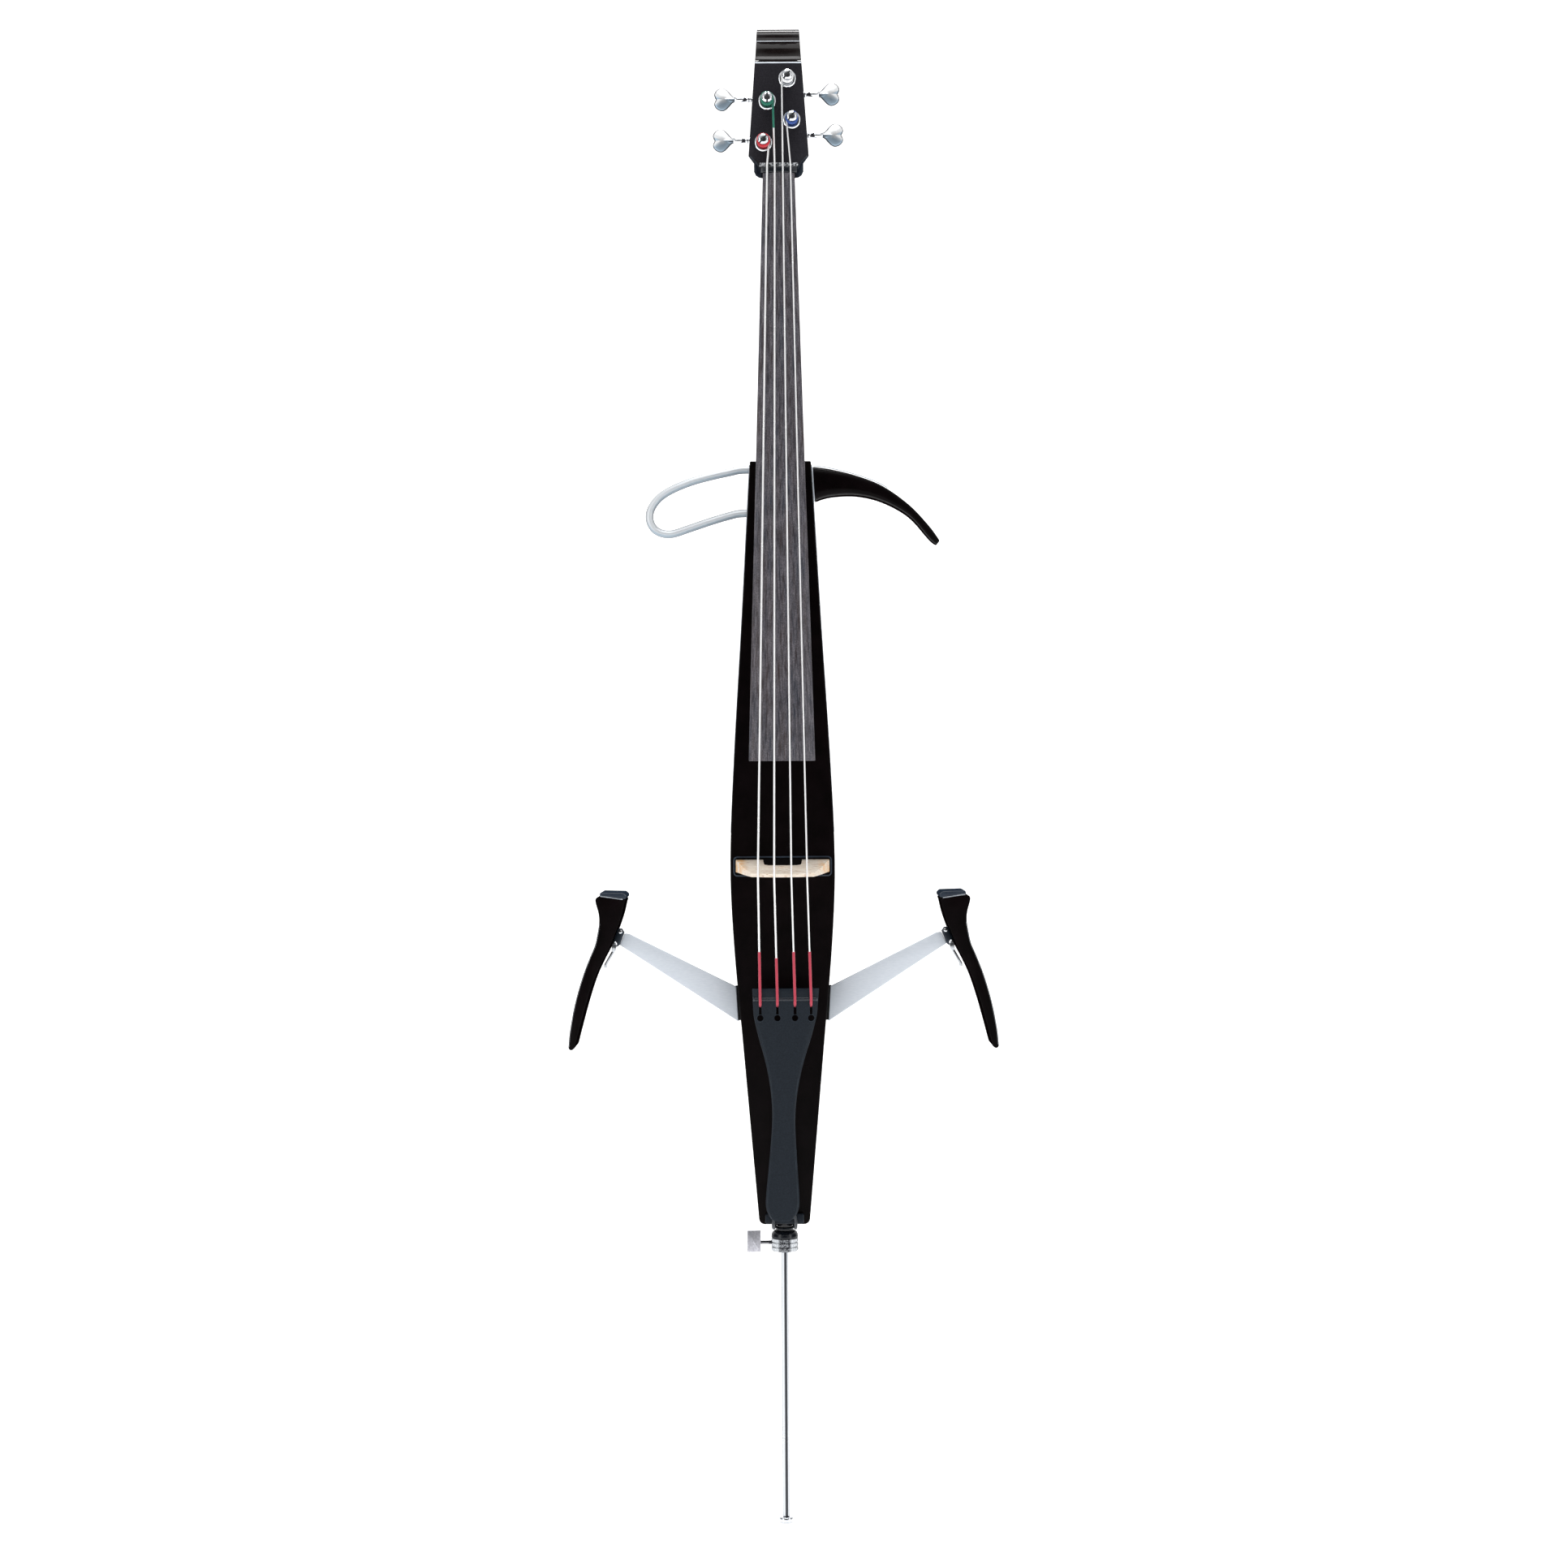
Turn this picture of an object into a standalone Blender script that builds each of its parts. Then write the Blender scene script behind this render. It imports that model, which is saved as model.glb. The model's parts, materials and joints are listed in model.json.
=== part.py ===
"""Electric frame cello, built as separate solids that touch with small clearances.

The origin is the tip of the endpin. +Z runs up along the endpin, the strings face -Y and the
high string is on the +X side. Lengths are in metres: MM turns millimetres into metres.
"""
import math

import bmesh
import bpy
from mathutils import Matrix, Vector

MM = 0.001
GAP = 0.3 * MM

# body
BODY_FRONT = -25 * MM
BODY_BACK = 27 * MM
BODY_BOTTOM = 311.7 * MM
BODY_TOP = 1064.4 * MM
BODY_STATIONS = [(311.7, 24.3), (495, 40.1), (592, 48.4), (668, 51.4), (768, 47.4), (912, 38.6),
                 (1064.4, 30.0)]
BODY_EDGE = 4 * MM

# cavity, cover and controls on the back
CAVITY_HALF = 31 * MM
CAVITY_LOW = 620 * MM
CAVITY_HIGH = 850 * MM
CAVITY_FRONT = -12 * MM
COVER_HALF = 36 * MM
COVER_LOW = 610 * MM
COVER_HIGH = 860 * MM
COVER_THICK = 4 * MM
DOOR_HALF = 22 * MM
DOOR_LOW = 626 * MM
DOOR_HIGH = 690 * MM
DOOR_THICK = 2.5 * MM
PANEL_HALF = 24 * MM
PANEL_LOW = 762 * MM
PANEL_HIGH = 842 * MM
PANEL_THICK = 2.2 * MM
KNOB_Z = 780 * MM
SWITCH_X = 12 * MM
JACK_Z = (800 * MM, 815 * MM, 830 * MM)
JACK_X = -10 * MM
JACK_BORE = 3.2 * MM
KNOB_BORE = 3.4 * MM
BOARD_Y = 9 * MM
BOARD_THICK = 1.6 * MM
THROUGH = 40 * MM

# neck, fingerboard and strings
NUT_Z = 1345.3 * MM
NUT_STRING_Y = -39 * MM
BRIDGE_Z = 658.2 * MM
BRIDGE_STRING_Y = -103 * MM
BOARD_END_Z = 769.5 * MM
BOARD_HALF_NUT = 15.6 * MM
BOARD_HALF_END = 32 * MM
BOARD_ARCH = 62 * MM
BOARD_EDGE = 5 * MM
NECK_TOP = 1340.5 * MM
NECK_TONGUE_END = 950 * MM
STRINGS = ("c", "g", "d", "a")
STRING_RADIUS = {"c": 0.9 * MM, "g": 0.8 * MM, "d": 0.7 * MM, "a": 0.6 * MM}
STRING_NUT_X = {"c": -11.4 * MM, "g": -3.9 * MM, "d": 4.0 * MM, "a": 11.6 * MM}
STRING_BRIDGE_X = {"c": -23.6 * MM, "g": -8.1 * MM, "d": 8.3 * MM, "a": 23.4 * MM}
STRING_TAIL_X = {"c": -22.4 * MM, "g": -5.8 * MM, "d": 11.2 * MM, "a": 26.8 * MM}

# head and machine heads
HEAD_FRONT = -30.2 * MM
HEAD_BACK = -6.7 * MM
HEAD_BASE = 1340.8 * MM
POST_AT = {"c": (-14.8 * MM, 1375.8 * MM), "g": (-10.9 * MM, 1416.6 * MM),
           "d": (8.8 * MM, 1438.5 * MM), "a": (13.0 * MM, 1398.0 * MM)}
KNOB_END = {"c": 65.0 * MM, "g": 63.5 * MM, "d": 60.5 * MM, "a": 64.0 * MM}
POST_RADIUS = 3.6 * MM
POST_WAIST = 4.2 * MM
POST_TIP = -50 * MM
FERRULE_RADIUS = 9 * MM
GEAR_RADIUS = 6 * MM
GEAR_TEETH = 15
WORM_RADIUS = 2.4 * MM
WORM_OFFSET = 8.6 * MM
WORM_Y = -1.4 * MM
SLEEVE_RADIUS = 3.2 * MM
SLEEVE_LENGTH = 17.5 * MM
LUG_THICK = 2.2 * MM

# bridge and pickup
BRIDGE_CENTRE_Z = 667.2 * MM
BRIDGE_FOOT_Y = -24.0 * MM
FOOT_THICK = 12 * MM
CROWN_THICK = 3.2 * MM
FRAME_CENTRE_Z = 666.5 * MM
FRAME_HALF_X = 48.4 * MM
FRAME_HALF_Z = 9.9 * MM
FRAME_WALL = 1.3 * MM

# tailpiece, saddle and endpin
TAIL_TOP = 549.5 * MM
TAIL_BOTTOM = 321.2 * MM
TAIL_TOP_Y = -71 * MM
TAIL_BOTTOM_Y = -47 * MM
TAIL_THICK = 8 * MM
TAIL_STATIONS = [(549.5, 32.2), (535, 31.4), (523, 30.4), (512, 28.0), (500, 24.9), (486, 20.7),
                 (472, 17.1), (458, 14.3), (446, 12.6), (432, 11.4), (415, 11.3), (390, 12.8),
                 (363, 14.9), (345, 16.2), (336, 16.2), (328.6, 14.2), (323.5, 10.9), (321.2, 7.0)]
TAIL_LEAN = 4.4 / 228
RIDGE_Z = 539.4 * MM
KEYHOLE_Z = 521 * MM
KEYHOLE_RADIUS = 3.1 * MM
KEYSLOT_HALF = 1.4 * MM
KEYSLOT_TOP = 536 * MM
GUT_RADIUS = 1.6 * MM
NECK_RING = 7.6 * MM
ROD_RADIUS = 3.5 * MM
ROD_TOP = 360 * MM
COLLAR_RADIUS = 13.3 * MM
COLLAR_LOW = 285.1 * MM
COLLAR_HIGH = 298.1 * MM
SCREW_Z = 293.4 * MM
PADDLE_CENTRE = (-30.5 * MM, 294.5 * MM)
PADDLE_HALF_X = 6.7 * MM
PADDLE_HALF_Z = 10.5 * MM
STOP_LOW = 12.2 * MM
STOP_HIGH = 21.9 * MM

# knee supports
ARM_PIN_X = 51 * MM
ARM_Y = -9 * MM
ARM_THICK = 4 * MM
KNEE_FRONT = -25 * MM
KNEE_BACK = 40 * MM
KNEE_PIN = (160.5 * MM, 602.6 * MM)
LEVER_PIN = (166.3 * MM, 590.5 * MM)
BRACKET_LOW = 514 * MM
BRACKET_HIGH = 547 * MM
BRACKET_THICK = 2.4 * MM
LUG_HEIGHT = 5 * MM
PIN_RADIUS = 1.9 * MM
KNEE_OUTER = [(180.5, 638.0), (184.2, 634.2), (181.2, 621.6), (180.5, 613), (182.0, 602.5),
              (184.8, 589.8), (190.2, 577.0), (197.4, 558.0), (204.7, 532.5), (209.6, 507), (211.4, 490)]
KNEE_INNER = [(209.0, 487.2), (205.6, 488.5), (201.0, 507), (194.0, 532.5), (186.6, 555), (179.2, 571.5),
              (172.6, 584), (167.6, 595), (162.6, 607.5), (158.4, 620.5), (155.0, 634)]

# upper-bout horn and shoulder loop
HORN_ROOT = 31.8 * MM
HORN_PLATE_THICK = 1.3 * MM
HORN_PLATE_LOW = 1027.5 * MM
HORN_PLATE_HIGH = 1059.8 * MM
HORN_HALF_DEPTH = 17 * MM
PEG_RADIUS = 4 * MM
PEG_Z = (1034 * MM, 1049 * MM)
LOOP_Z = (1015.5 * MM, 1058.6 * MM)
LOOP_RADIUS = 3.9 * MM


def clear_scene():
    """Remove every object that is already in the file."""
    for obj in list(bpy.data.objects):
        bpy.data.objects.remove(obj)


def make_collection(name):
    """Make a collection and link it to the scene."""
    collection = bpy.data.collections.new(name)
    bpy.context.scene.collection.children.link(collection)
    return collection


def make_material(name, colour, roughness, metallic):
    """One Principled material with a plain colour."""
    material = bpy.data.materials.new(name)
    material.use_nodes = True
    shader = material.node_tree.nodes["Principled BSDF"]
    shader.inputs["Base Color"].default_value = (*colour, 1.0)
    shader.inputs["Roughness"].default_value = roughness
    shader.inputs["Metallic"].default_value = metallic
    return material


clear_scene()
PARTS = make_collection("electric_cello")
CUTTERS = make_collection("cutters")

BLACK_LACQUER = make_material("black_lacquer", (0.012, 0.009, 0.009), 0.3, 0.0)
CHARCOAL = make_material("charcoal_satin", (0.05, 0.055, 0.065), 0.4, 0.0)
EBONY = make_material("ebony", (0.06, 0.05, 0.05), 0.45, 0.0)
MAPLE = make_material("maple", (0.78, 0.6, 0.38), 0.5, 0.0)
CHROME = make_material("chrome", (0.75, 0.76, 0.78), 0.12, 1.0)
STEEL = make_material("steel", (0.6, 0.62, 0.65), 0.25, 1.0)
ALUMINIUM = make_material("aluminium", (0.72, 0.75, 0.79), 0.35, 1.0)
BLACK_PLASTIC = make_material("black_plastic", (0.02, 0.02, 0.022), 0.45, 0.0)
GREEN_BOARD = make_material("circuit_green", (0.03, 0.16, 0.07), 0.4, 0.0)


def mm(points):
    """Turn a list of points in millimetres into metres."""
    return [tuple(value * MM for value in point) for point in points]


def to_mesh(bm, name):
    """Turn a bmesh into a mesh with outward faces."""
    bmesh.ops.recalc_face_normals(bm, faces=bm.faces)
    mesh = bpy.data.meshes.new(name)
    bm.to_mesh(mesh)
    bm.free()
    return mesh


def add(name, mesh, material, origin=(0, 0, 0), collection=None):
    """Add an object whose mesh is in world coordinates and whose origin is at origin."""
    mesh.transform(Matrix.Translation(-Vector(origin)))
    mesh.shade_smooth()
    mesh.set_sharp_from_angle(angle=math.radians(35))
    obj = bpy.data.objects.new(name, mesh)
    obj.location = origin
    (collection or PARTS).objects.link(obj)
    if material:
        mesh.materials.append(material)
    return obj


def box_mesh(low, high, name="box"):
    """A box between two corners, in metres."""
    size = [b - a for a, b in zip(low, high)]
    centre = [(a + b) / 2 for a, b in zip(low, high)]
    bm = bmesh.new()
    bmesh.ops.create_cube(bm, size=1, matrix=Matrix.Translation(centre) @ Matrix.Diagonal((*size, 1)))
    return to_mesh(bm, name)


AXIS_TURN = {"x": Matrix.Rotation(math.pi / 2, 4, "Y"), "y": Matrix.Rotation(-math.pi / 2, 4, "X"),
             "z": Matrix.Identity(4)}


def rod_mesh(start, axis, length, radius, segments=20, name="rod"):
    """A cylinder that starts at a point and runs along an axis."""
    direction = AXIS_TURN[axis] @ Vector((0, 0, 1))
    centre = Vector(start) + direction * length / 2
    bm = bmesh.new()
    bmesh.ops.create_cone(bm, cap_ends=True, segments=segments, radius1=radius, radius2=radius,
                          depth=abs(length), matrix=Matrix.Translation(centre) @ AXIS_TURN[axis])
    return to_mesh(bm, name)


def turned_mesh(profile, axis="z", centre=(0, 0, 0), steps=20, closed=False, name="turned"):
    """Spin a profile of (radius, height) points, listed down its outer side, about an axis."""
    mesh = bpy.data.meshes.new(name)
    edges = [(i, i + 1) for i in range(len(profile) - 1)]
    if closed:
        edges.append((len(profile) - 1, 0))
    mesh.from_pydata([(radius, 0, height) for radius, height in profile], edges, [])
    obj = bpy.data.objects.new(name, mesh)
    CUTTERS.objects.link(obj)
    screw = obj.modifiers.new("spin", "SCREW")
    screw.steps = steps
    screw.render_steps = steps
    screw.use_merge_vertices = True
    screw.merge_threshold = 0.00001
    result = evaluated_mesh(obj)
    result.transform(Matrix.Translation(centre) @ AXIS_TURN[axis])
    return result


def evaluated_mesh(obj):
    """Mesh of an object with its modifiers, welded, in world coordinates; removes the object."""
    bpy.context.view_layer.update()
    depsgraph = bpy.context.evaluated_depsgraph_get()
    mesh = bpy.data.meshes.new_from_object(obj.evaluated_get(depsgraph))
    mesh.transform(obj.matrix_world)
    bpy.data.objects.remove(obj)
    bm = bmesh.new()
    bm.from_mesh(mesh)
    bmesh.ops.remove_doubles(bm, verts=bm.verts, dist=0.000005)
    bmesh.ops.recalc_face_normals(bm, faces=bm.faces)
    bm.to_mesh(mesh)
    bm.free()
    return mesh


PLANE_TURN = {"xz": Matrix.Rotation(math.pi / 2, 4, "X"), "xy": Matrix.Identity(4),
              "yz": Matrix(((0, 0, 1, 0), (1, 0, 0, 0), (0, 1, 0, 0), (0, 0, 0, 1)))}


def flat_mesh(outline, plane, low, high, name="flat"):
    """A closed outline in a plane, filled and given thickness between two levels."""
    curve = bpy.data.curves.new(name, "CURVE")
    curve.dimensions = "2D"
    curve.fill_mode = "BOTH"
    curve.extrude = (high - low) / 2
    spline = curve.splines.new("POLY")
    spline.points.add(len(outline) - 1)
    for point, (u, v) in zip(spline.points, outline):
        point.co = (u, v, 0, 1)
    spline.use_cyclic_u = True
    obj = bpy.data.objects.new(name, curve)
    CUTTERS.objects.link(obj)
    obj.matrix_world = PLANE_TURN[plane]
    mesh = evaluated_mesh(obj)
    level = (high + low) / 2
    shift = {"xz": (0, level, 0), "xy": (0, 0, level), "yz": (level, 0, 0)}[plane]
    mesh.transform(Matrix.Translation(shift))
    return mesh


def wire(name, points, radius, material, origin=(0, 0, 0), collection=None):
    """A round wire along points, welded to one closed mesh."""
    curve = bpy.data.curves.new(name, "CURVE")
    curve.dimensions = "3D"
    curve.bevel_depth = radius
    curve.bevel_resolution = 2
    curve.use_fill_caps = True
    spline = curve.splines.new("POLY")
    spline.points.add(len(points) - 1)
    for point, place in zip(spline.points, points):
        point.co = (*place, 1)
    obj = bpy.data.objects.new(name + "_curve", curve)
    CUTTERS.objects.link(obj)
    return add(name, evaluated_mesh(obj), material, origin, collection)


def loft_mesh(rings, name="loft"):
    """Skin between rings of equal point count, with both ends closed."""
    bm = bmesh.new()
    loops = [[bm.verts.new(point) for point in ring] for ring in rings]
    count = len(rings[0])
    for lower, upper in zip(loops, loops[1:]):
        for i in range(count):
            j = (i + 1) % count
            bm.faces.new((lower[i], lower[j], upper[j], upper[i]))
    bm.faces.new(loops[0])
    bm.faces.new(loops[-1])
    return to_mesh(bm, name)


def boolean(obj, mesh, operation):
    """Cut a mesh from an object, or join or intersect it."""
    tool = add(obj.name + "_" + operation.lower(), mesh, None, collection=CUTTERS)
    tool.hide_render = True
    tool.display_type = "WIRE"
    modifier = obj.modifiers.new(operation.lower(), "BOOLEAN")
    modifier.operation = operation
    modifier.solver = "EXACT"
    modifier.object = tool


def cut(obj, *meshes):
    """Take shapes away from an object."""
    for mesh in meshes:
        boolean(obj, mesh, "DIFFERENCE")


def join(obj, *meshes):
    """Grow an object by shapes that touch it."""
    for mesh in meshes:
        boolean(obj, mesh, "UNION")


def bevel(obj, width, segments=2, angle=40):
    """Round the edges that are sharper than an angle."""
    modifier = obj.modifiers.new("edge_round", "BEVEL")
    modifier.width = width
    modifier.segments = segments
    modifier.limit_method = "ANGLE"
    modifier.angle_limit = math.radians(angle)


def between(stations, z):
    """Smooth half width at height z, from (height, half width) stations in order of height."""
    for i in range(len(stations) - 1):
        (z0, w0), (z1, w1) = stations[i], stations[i + 1]
        if z <= z1:
            break
    before = stations[max(i - 1, 0)]
    after = stations[min(i + 2, len(stations) - 1)]
    span = z1 - z0
    slope0 = (w1 - before[1]) / (z1 - before[0])
    slope1 = (after[1] - w0) / (after[0] - z0)
    t = (z - z0) / span
    return ((2 * t ** 3 - 3 * t ** 2 + 1) * w0 + (t ** 3 - 2 * t ** 2 + t) * span * slope0
            + (3 * t ** 2 - 2 * t ** 3) * w1 + (t ** 3 - t ** 2) * span * slope1)


def rounded_rectangle(half_u, half_v, radius, centre=(0, 0), steps=3):
    """Outline points of a rectangle with round corners."""
    points = []
    for quarter, (su, sv) in enumerate(((1, 1), (-1, 1), (-1, -1), (1, -1))):
        for step in range(steps + 1):
            angle = (quarter + step / steps) * math.pi / 2
            u = centre[0] + su * (half_u - radius) + radius * math.cos(angle)
            v = centre[1] + sv * (half_v - radius) + radius * math.sin(angle)
            points.append((u, v))
    return points


def string_y(z):
    """Y of the string plane at height z."""
    share = (NUT_Z - z) / (NUT_Z - BRIDGE_Z)
    return NUT_STRING_Y + share * (BRIDGE_STRING_Y - NUT_STRING_Y)


def board_share(z):
    """0 at the nut, 1 at the free end of the fingerboard."""
    return (NUT_Z - z) / (NUT_Z - BOARD_END_Z)


def board_half(z):
    """Half width of the fingerboard."""
    return BOARD_HALF_NUT + board_share(z) * (BOARD_HALF_END - BOARD_HALF_NUT)


def board_top(z):
    """Y of the fingerboard's crown: just under the strings at the nut, 6 mm at the end."""
    return string_y(z) + (1.4 + 5.0 * board_share(z)) * MM


def board_drop(x):
    """How far the round fingerboard falls away at x from its middle."""
    return BOARD_ARCH - math.sqrt(BOARD_ARCH ** 2 - x ** 2)


def board_under(z):
    """Y of the fingerboard's flat underside."""
    return board_top(z) + board_drop(board_half(z)) + BOARD_EDGE


# ---------------------------------------------------------------- body

def body_outline():
    """Front outline of the body, up the +X side and down the -X side."""
    count = 13
    low, high = BODY_STATIONS[0][0], BODY_STATIONS[-1][0]
    heights = [low + (high - low) * i / count for i in range(count + 1)]
    right = [(between(BODY_STATIONS, z) * MM, z * MM) for z in heights]
    left = [(-x, z) for x, z in reversed(right)]
    return right + left


def make_body():
    """Solid body with a pickup pocket, an endpin bore and a cavity open at the back."""
    body = add("body_shell", flat_mesh(body_outline(), "xz", BODY_FRONT, BODY_BACK), BLACK_LACQUER)
    bevel(body, BODY_EDGE, 2, 60)
    pocket = rounded_rectangle(FRAME_HALF_X + GAP, FRAME_HALF_Z + GAP, 4 * MM, (0, FRAME_CENTRE_Z))
    cut(body, flat_mesh(pocket, "xz", BODY_FRONT - 5 * MM, BODY_FRONT + 5 * MM))
    cover = rounded_rectangle(COVER_HALF + GAP, (COVER_HIGH - COVER_LOW) / 2 + GAP, 6 * MM,
                              (0, (COVER_LOW + COVER_HIGH) / 2))
    cut(body, flat_mesh(cover, "xz", BODY_BACK - COVER_THICK - GAP, BODY_BACK + 5 * MM))
    cut(body, box_mesh((-CAVITY_HALF, CAVITY_FRONT, CAVITY_LOW), (CAVITY_HALF, BODY_BACK, CAVITY_HIGH)))
    cut(body, rod_mesh((0, 0, BODY_BOTTOM - 5 * MM), "z", 35 * MM, 12.3 * MM))
    cut(body, rod_mesh((0, 0, BODY_BOTTOM), "z", CAVITY_LOW - BODY_BOTTOM + 5 * MM, 7 * MM, segments=16))
    for z in PEG_Z:
        cut(body, rod_mesh((12 * MM, 0, z), "x", 30 * MM, PEG_RADIUS + GAP, segments=16))
    for z in LOOP_Z:
        cut(body, rod_mesh((-42 * MM, 0, z), "x", 32 * MM, LOOP_RADIUS + 2 * GAP, segments=16))
    cut(body, rod_mesh((22 * MM, 12 * MM, 1042 * MM), "y", 20 * MM, 2.5 * MM, segments=12))


def make_back_cover():
    """Cover of the cavity, with the battery opening and the stepped panel opening."""
    middle = (0, (COVER_LOW + COVER_HIGH) / 2)
    outline = rounded_rectangle(COVER_HALF, (COVER_HIGH - COVER_LOW) / 2, 6 * MM, middle)
    cover = add("back_cover", flat_mesh(outline, "xz", BODY_BACK - COVER_THICK, BODY_BACK), BLACK_PLASTIC)
    cut(cover, box_mesh((-DOOR_HALF - GAP, BODY_BACK - 10 * MM, DOOR_LOW - GAP),
                        (DOOR_HALF + GAP, BODY_BACK + 5 * MM, DOOR_HIGH + GAP)))
    cut(cover, box_mesh((-PANEL_HALF - GAP, BODY_BACK - PANEL_THICK - GAP, PANEL_LOW - GAP),
                        (PANEL_HALF + GAP, BODY_BACK + 5 * MM, PANEL_HIGH + GAP)))
    cut(cover, box_mesh((-PANEL_HALF + 3 * MM, BODY_BACK - 10 * MM, PANEL_LOW + 3 * MM),
                        (PANEL_HALF - 3 * MM, BODY_BACK + 5 * MM, PANEL_HIGH - 3 * MM)))


def make_controls():
    """Jack panel, volume knob, power switch, circuit board, battery holder and its door."""
    panel = add("jack_panel", box_mesh((-PANEL_HALF, BODY_BACK - PANEL_THICK, PANEL_LOW),
                                       (PANEL_HALF, BODY_BACK, PANEL_HIGH)), CHARCOAL)
    cut(panel, rod_mesh((-SWITCH_X, 0, KNOB_Z), "y", THROUGH, KNOB_BORE, segments=16))
    cut(panel, box_mesh((SWITCH_X - 2.6 * MM, 0, KNOB_Z - 6 * MM),
                        (SWITCH_X + 2.6 * MM, THROUGH, KNOB_Z + 6 * MM)))
    for z in JACK_Z:
        cut(panel, rod_mesh((JACK_X, 0, z), "y", THROUGH, JACK_BORE, segments=16))
    board = add("circuit_board", box_mesh((-27 * MM, BOARD_Y, 700 * MM),
                                          (27 * MM, BOARD_Y + BOARD_THICK, 845 * MM)), GREEN_BOARD)
    for z in JACK_Z:
        join(board, box_mesh((JACK_X - 6 * MM, BOARD_Y + 1 * MM, z - 6 * MM),
                             (JACK_X + 6 * MM, BODY_BACK - PANEL_THICK - GAP, z + 6 * MM)))
    for z in JACK_Z:
        cut(board, rod_mesh((JACK_X, BOARD_Y + 4 * MM, z), "y", THROUGH, JACK_BORE, segments=16))
    join(board, box_mesh((4 * MM, BOARD_Y + 1 * MM, 712 * MM), (20 * MM, BOARD_Y + 5 * MM, 735 * MM)))
    knob_at = (-SWITCH_X, BODY_BACK, KNOB_Z)
    knob = mm([(0, 9), (6, 9), (7, 8), (7.4, 0.5), (3, 0.5), (3, -12), (0, -12)])
    add("volume_knob", turned_mesh(knob, "y", knob_at, 20), BLACK_PLASTIC, knob_at)
    slider_z = KNOB_Z - 2 * MM
    slider = add("power_switch", box_mesh((SWITCH_X - 2 * MM, BODY_BACK - 9 * MM, slider_z - 2.5 * MM),
                                          (SWITCH_X + 2 * MM, BODY_BACK + 1.6 * MM, slider_z + 2.5 * MM)),
                 BLACK_PLASTIC, (SWITCH_X, BODY_BACK, slider_z))
    bevel(slider, 0.4 * MM, 1)
    holder = add("battery_holder", box_mesh((-21 * MM, 5 * MM, 624 * MM), (21 * MM, 22 * MM, 692 * MM)),
                 BLACK_PLASTIC)
    cut(holder, box_mesh((-19 * MM, 7 * MM, 626.5 * MM), (19 * MM, 30 * MM, 689.5 * MM)))
    add("battery_door", box_mesh((-DOOR_HALF, BODY_BACK - DOOR_THICK, DOOR_LOW),
                                 (DOOR_HALF, BODY_BACK, DOOR_HIGH)), BLACK_PLASTIC, (0, BODY_BACK, DOOR_LOW))


# ---------------------------------------------------------------- neck, head and fingerboard

def neck_ring(z, half, front, back, square):
    """Section of the neck: flat in front, round or boxy behind."""
    points = []
    steps = 10
    for i in range(steps + 1):
        angle = math.pi * i / steps
        x = half * math.copysign(abs(math.cos(angle)) ** square, math.cos(angle))
        y = front + (back - front) * math.sin(angle) ** square
        points.append((x, y, z))
    return points


def make_neck():
    """Neck that deepens into a heel on the body's top and runs on as a tongue over its front."""
    rings = []
    sections = ((NECK_TOP, -9, 0.9), (1300 * MM, -10.5, 0.9), (1150 * MM, -21, 0.9), (1105 * MM, -22, 0.8),
                (1085 * MM, -8, 0.6), (1072 * MM, 12, 0.45), (BODY_TOP + GAP, 20, 0.35))
    for z, back, square in sections:
        half = board_half(z) - 0.4 * MM
        rings.append(neck_ring(z, half, board_under(z) + GAP, back * MM, square))
    neck = add("neck", loft_mesh(rings), BLACK_LACQUER)
    tongue = []
    for z in (NECK_TONGUE_END, BODY_TOP + 8 * MM):
        half = 19 * MM
        front = board_under(z) + GAP
        back = BODY_FRONT - GAP
        tongue.append([(-half, front, z), (half, front, z), (half, back, z), (-half, back, z)])
    join(neck, loft_mesh(tongue))


def make_fingerboard():
    """Arched board that tapers from its free end to the nut."""
    rings = []
    steps = 8
    for z in (BOARD_END_Z, 950 * MM, 1150 * MM, NUT_Z):
        half = board_half(z)
        under = board_under(z)
        arch = [half - 2 * half * i / steps for i in range(steps + 1)]
        ring = [(half, under, z)]
        ring += [(x, board_top(z) + board_drop(x), z) for x in arch]
        ring.append((-half, under, z))
        rings.append(ring)
    add("fingerboard", loft_mesh(rings), EBONY)


def make_nut():
    """Block that lifts the strings at the end of the fingerboard."""
    top = NUT_STRING_Y + 1.6 * MM
    right = [(18 * MM, HEAD_FRONT - GAP), (18 * MM, top + 2.2 * MM), (13 * MM, top + 0.9 * MM), (5 * MM, top)]
    left = [(-x, y) for x, y in reversed(right)]
    nut = add("nut", flat_mesh(right + left, "xy", NUT_Z + GAP, 1351.8 * MM), CHARCOAL)
    bevel(nut, 0.8 * MM, 2)


def head_side_profile():
    """Side outline of the head: flat face, scooped band and a rolled top."""
    points = [(HEAD_BACK, HEAD_BASE), (HEAD_FRONT, HEAD_BASE), (HEAD_FRONT, 1454 * MM)]
    for i in range(6):
        angle = math.pi * i / 5
        points.append((HEAD_FRONT + 1.5 * MM + 5 * MM * math.sin(angle),
                       1466 * MM - 10.3 * MM * math.cos(angle)))
    points.append((HEAD_FRONT - 0.5 * MM, 1477.6 * MM))
    for i in range(6):
        angle = math.radians(-10 + 100 * i / 5)
        points.append((-22 * MM - 9.2 * MM * math.cos(angle), 1480.5 * MM + 8 * MM * math.sin(angle)))
    points.append((-11 * MM, 1488.5 * MM))
    points.append((HEAD_BACK, 1483 * MM))
    return points


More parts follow.
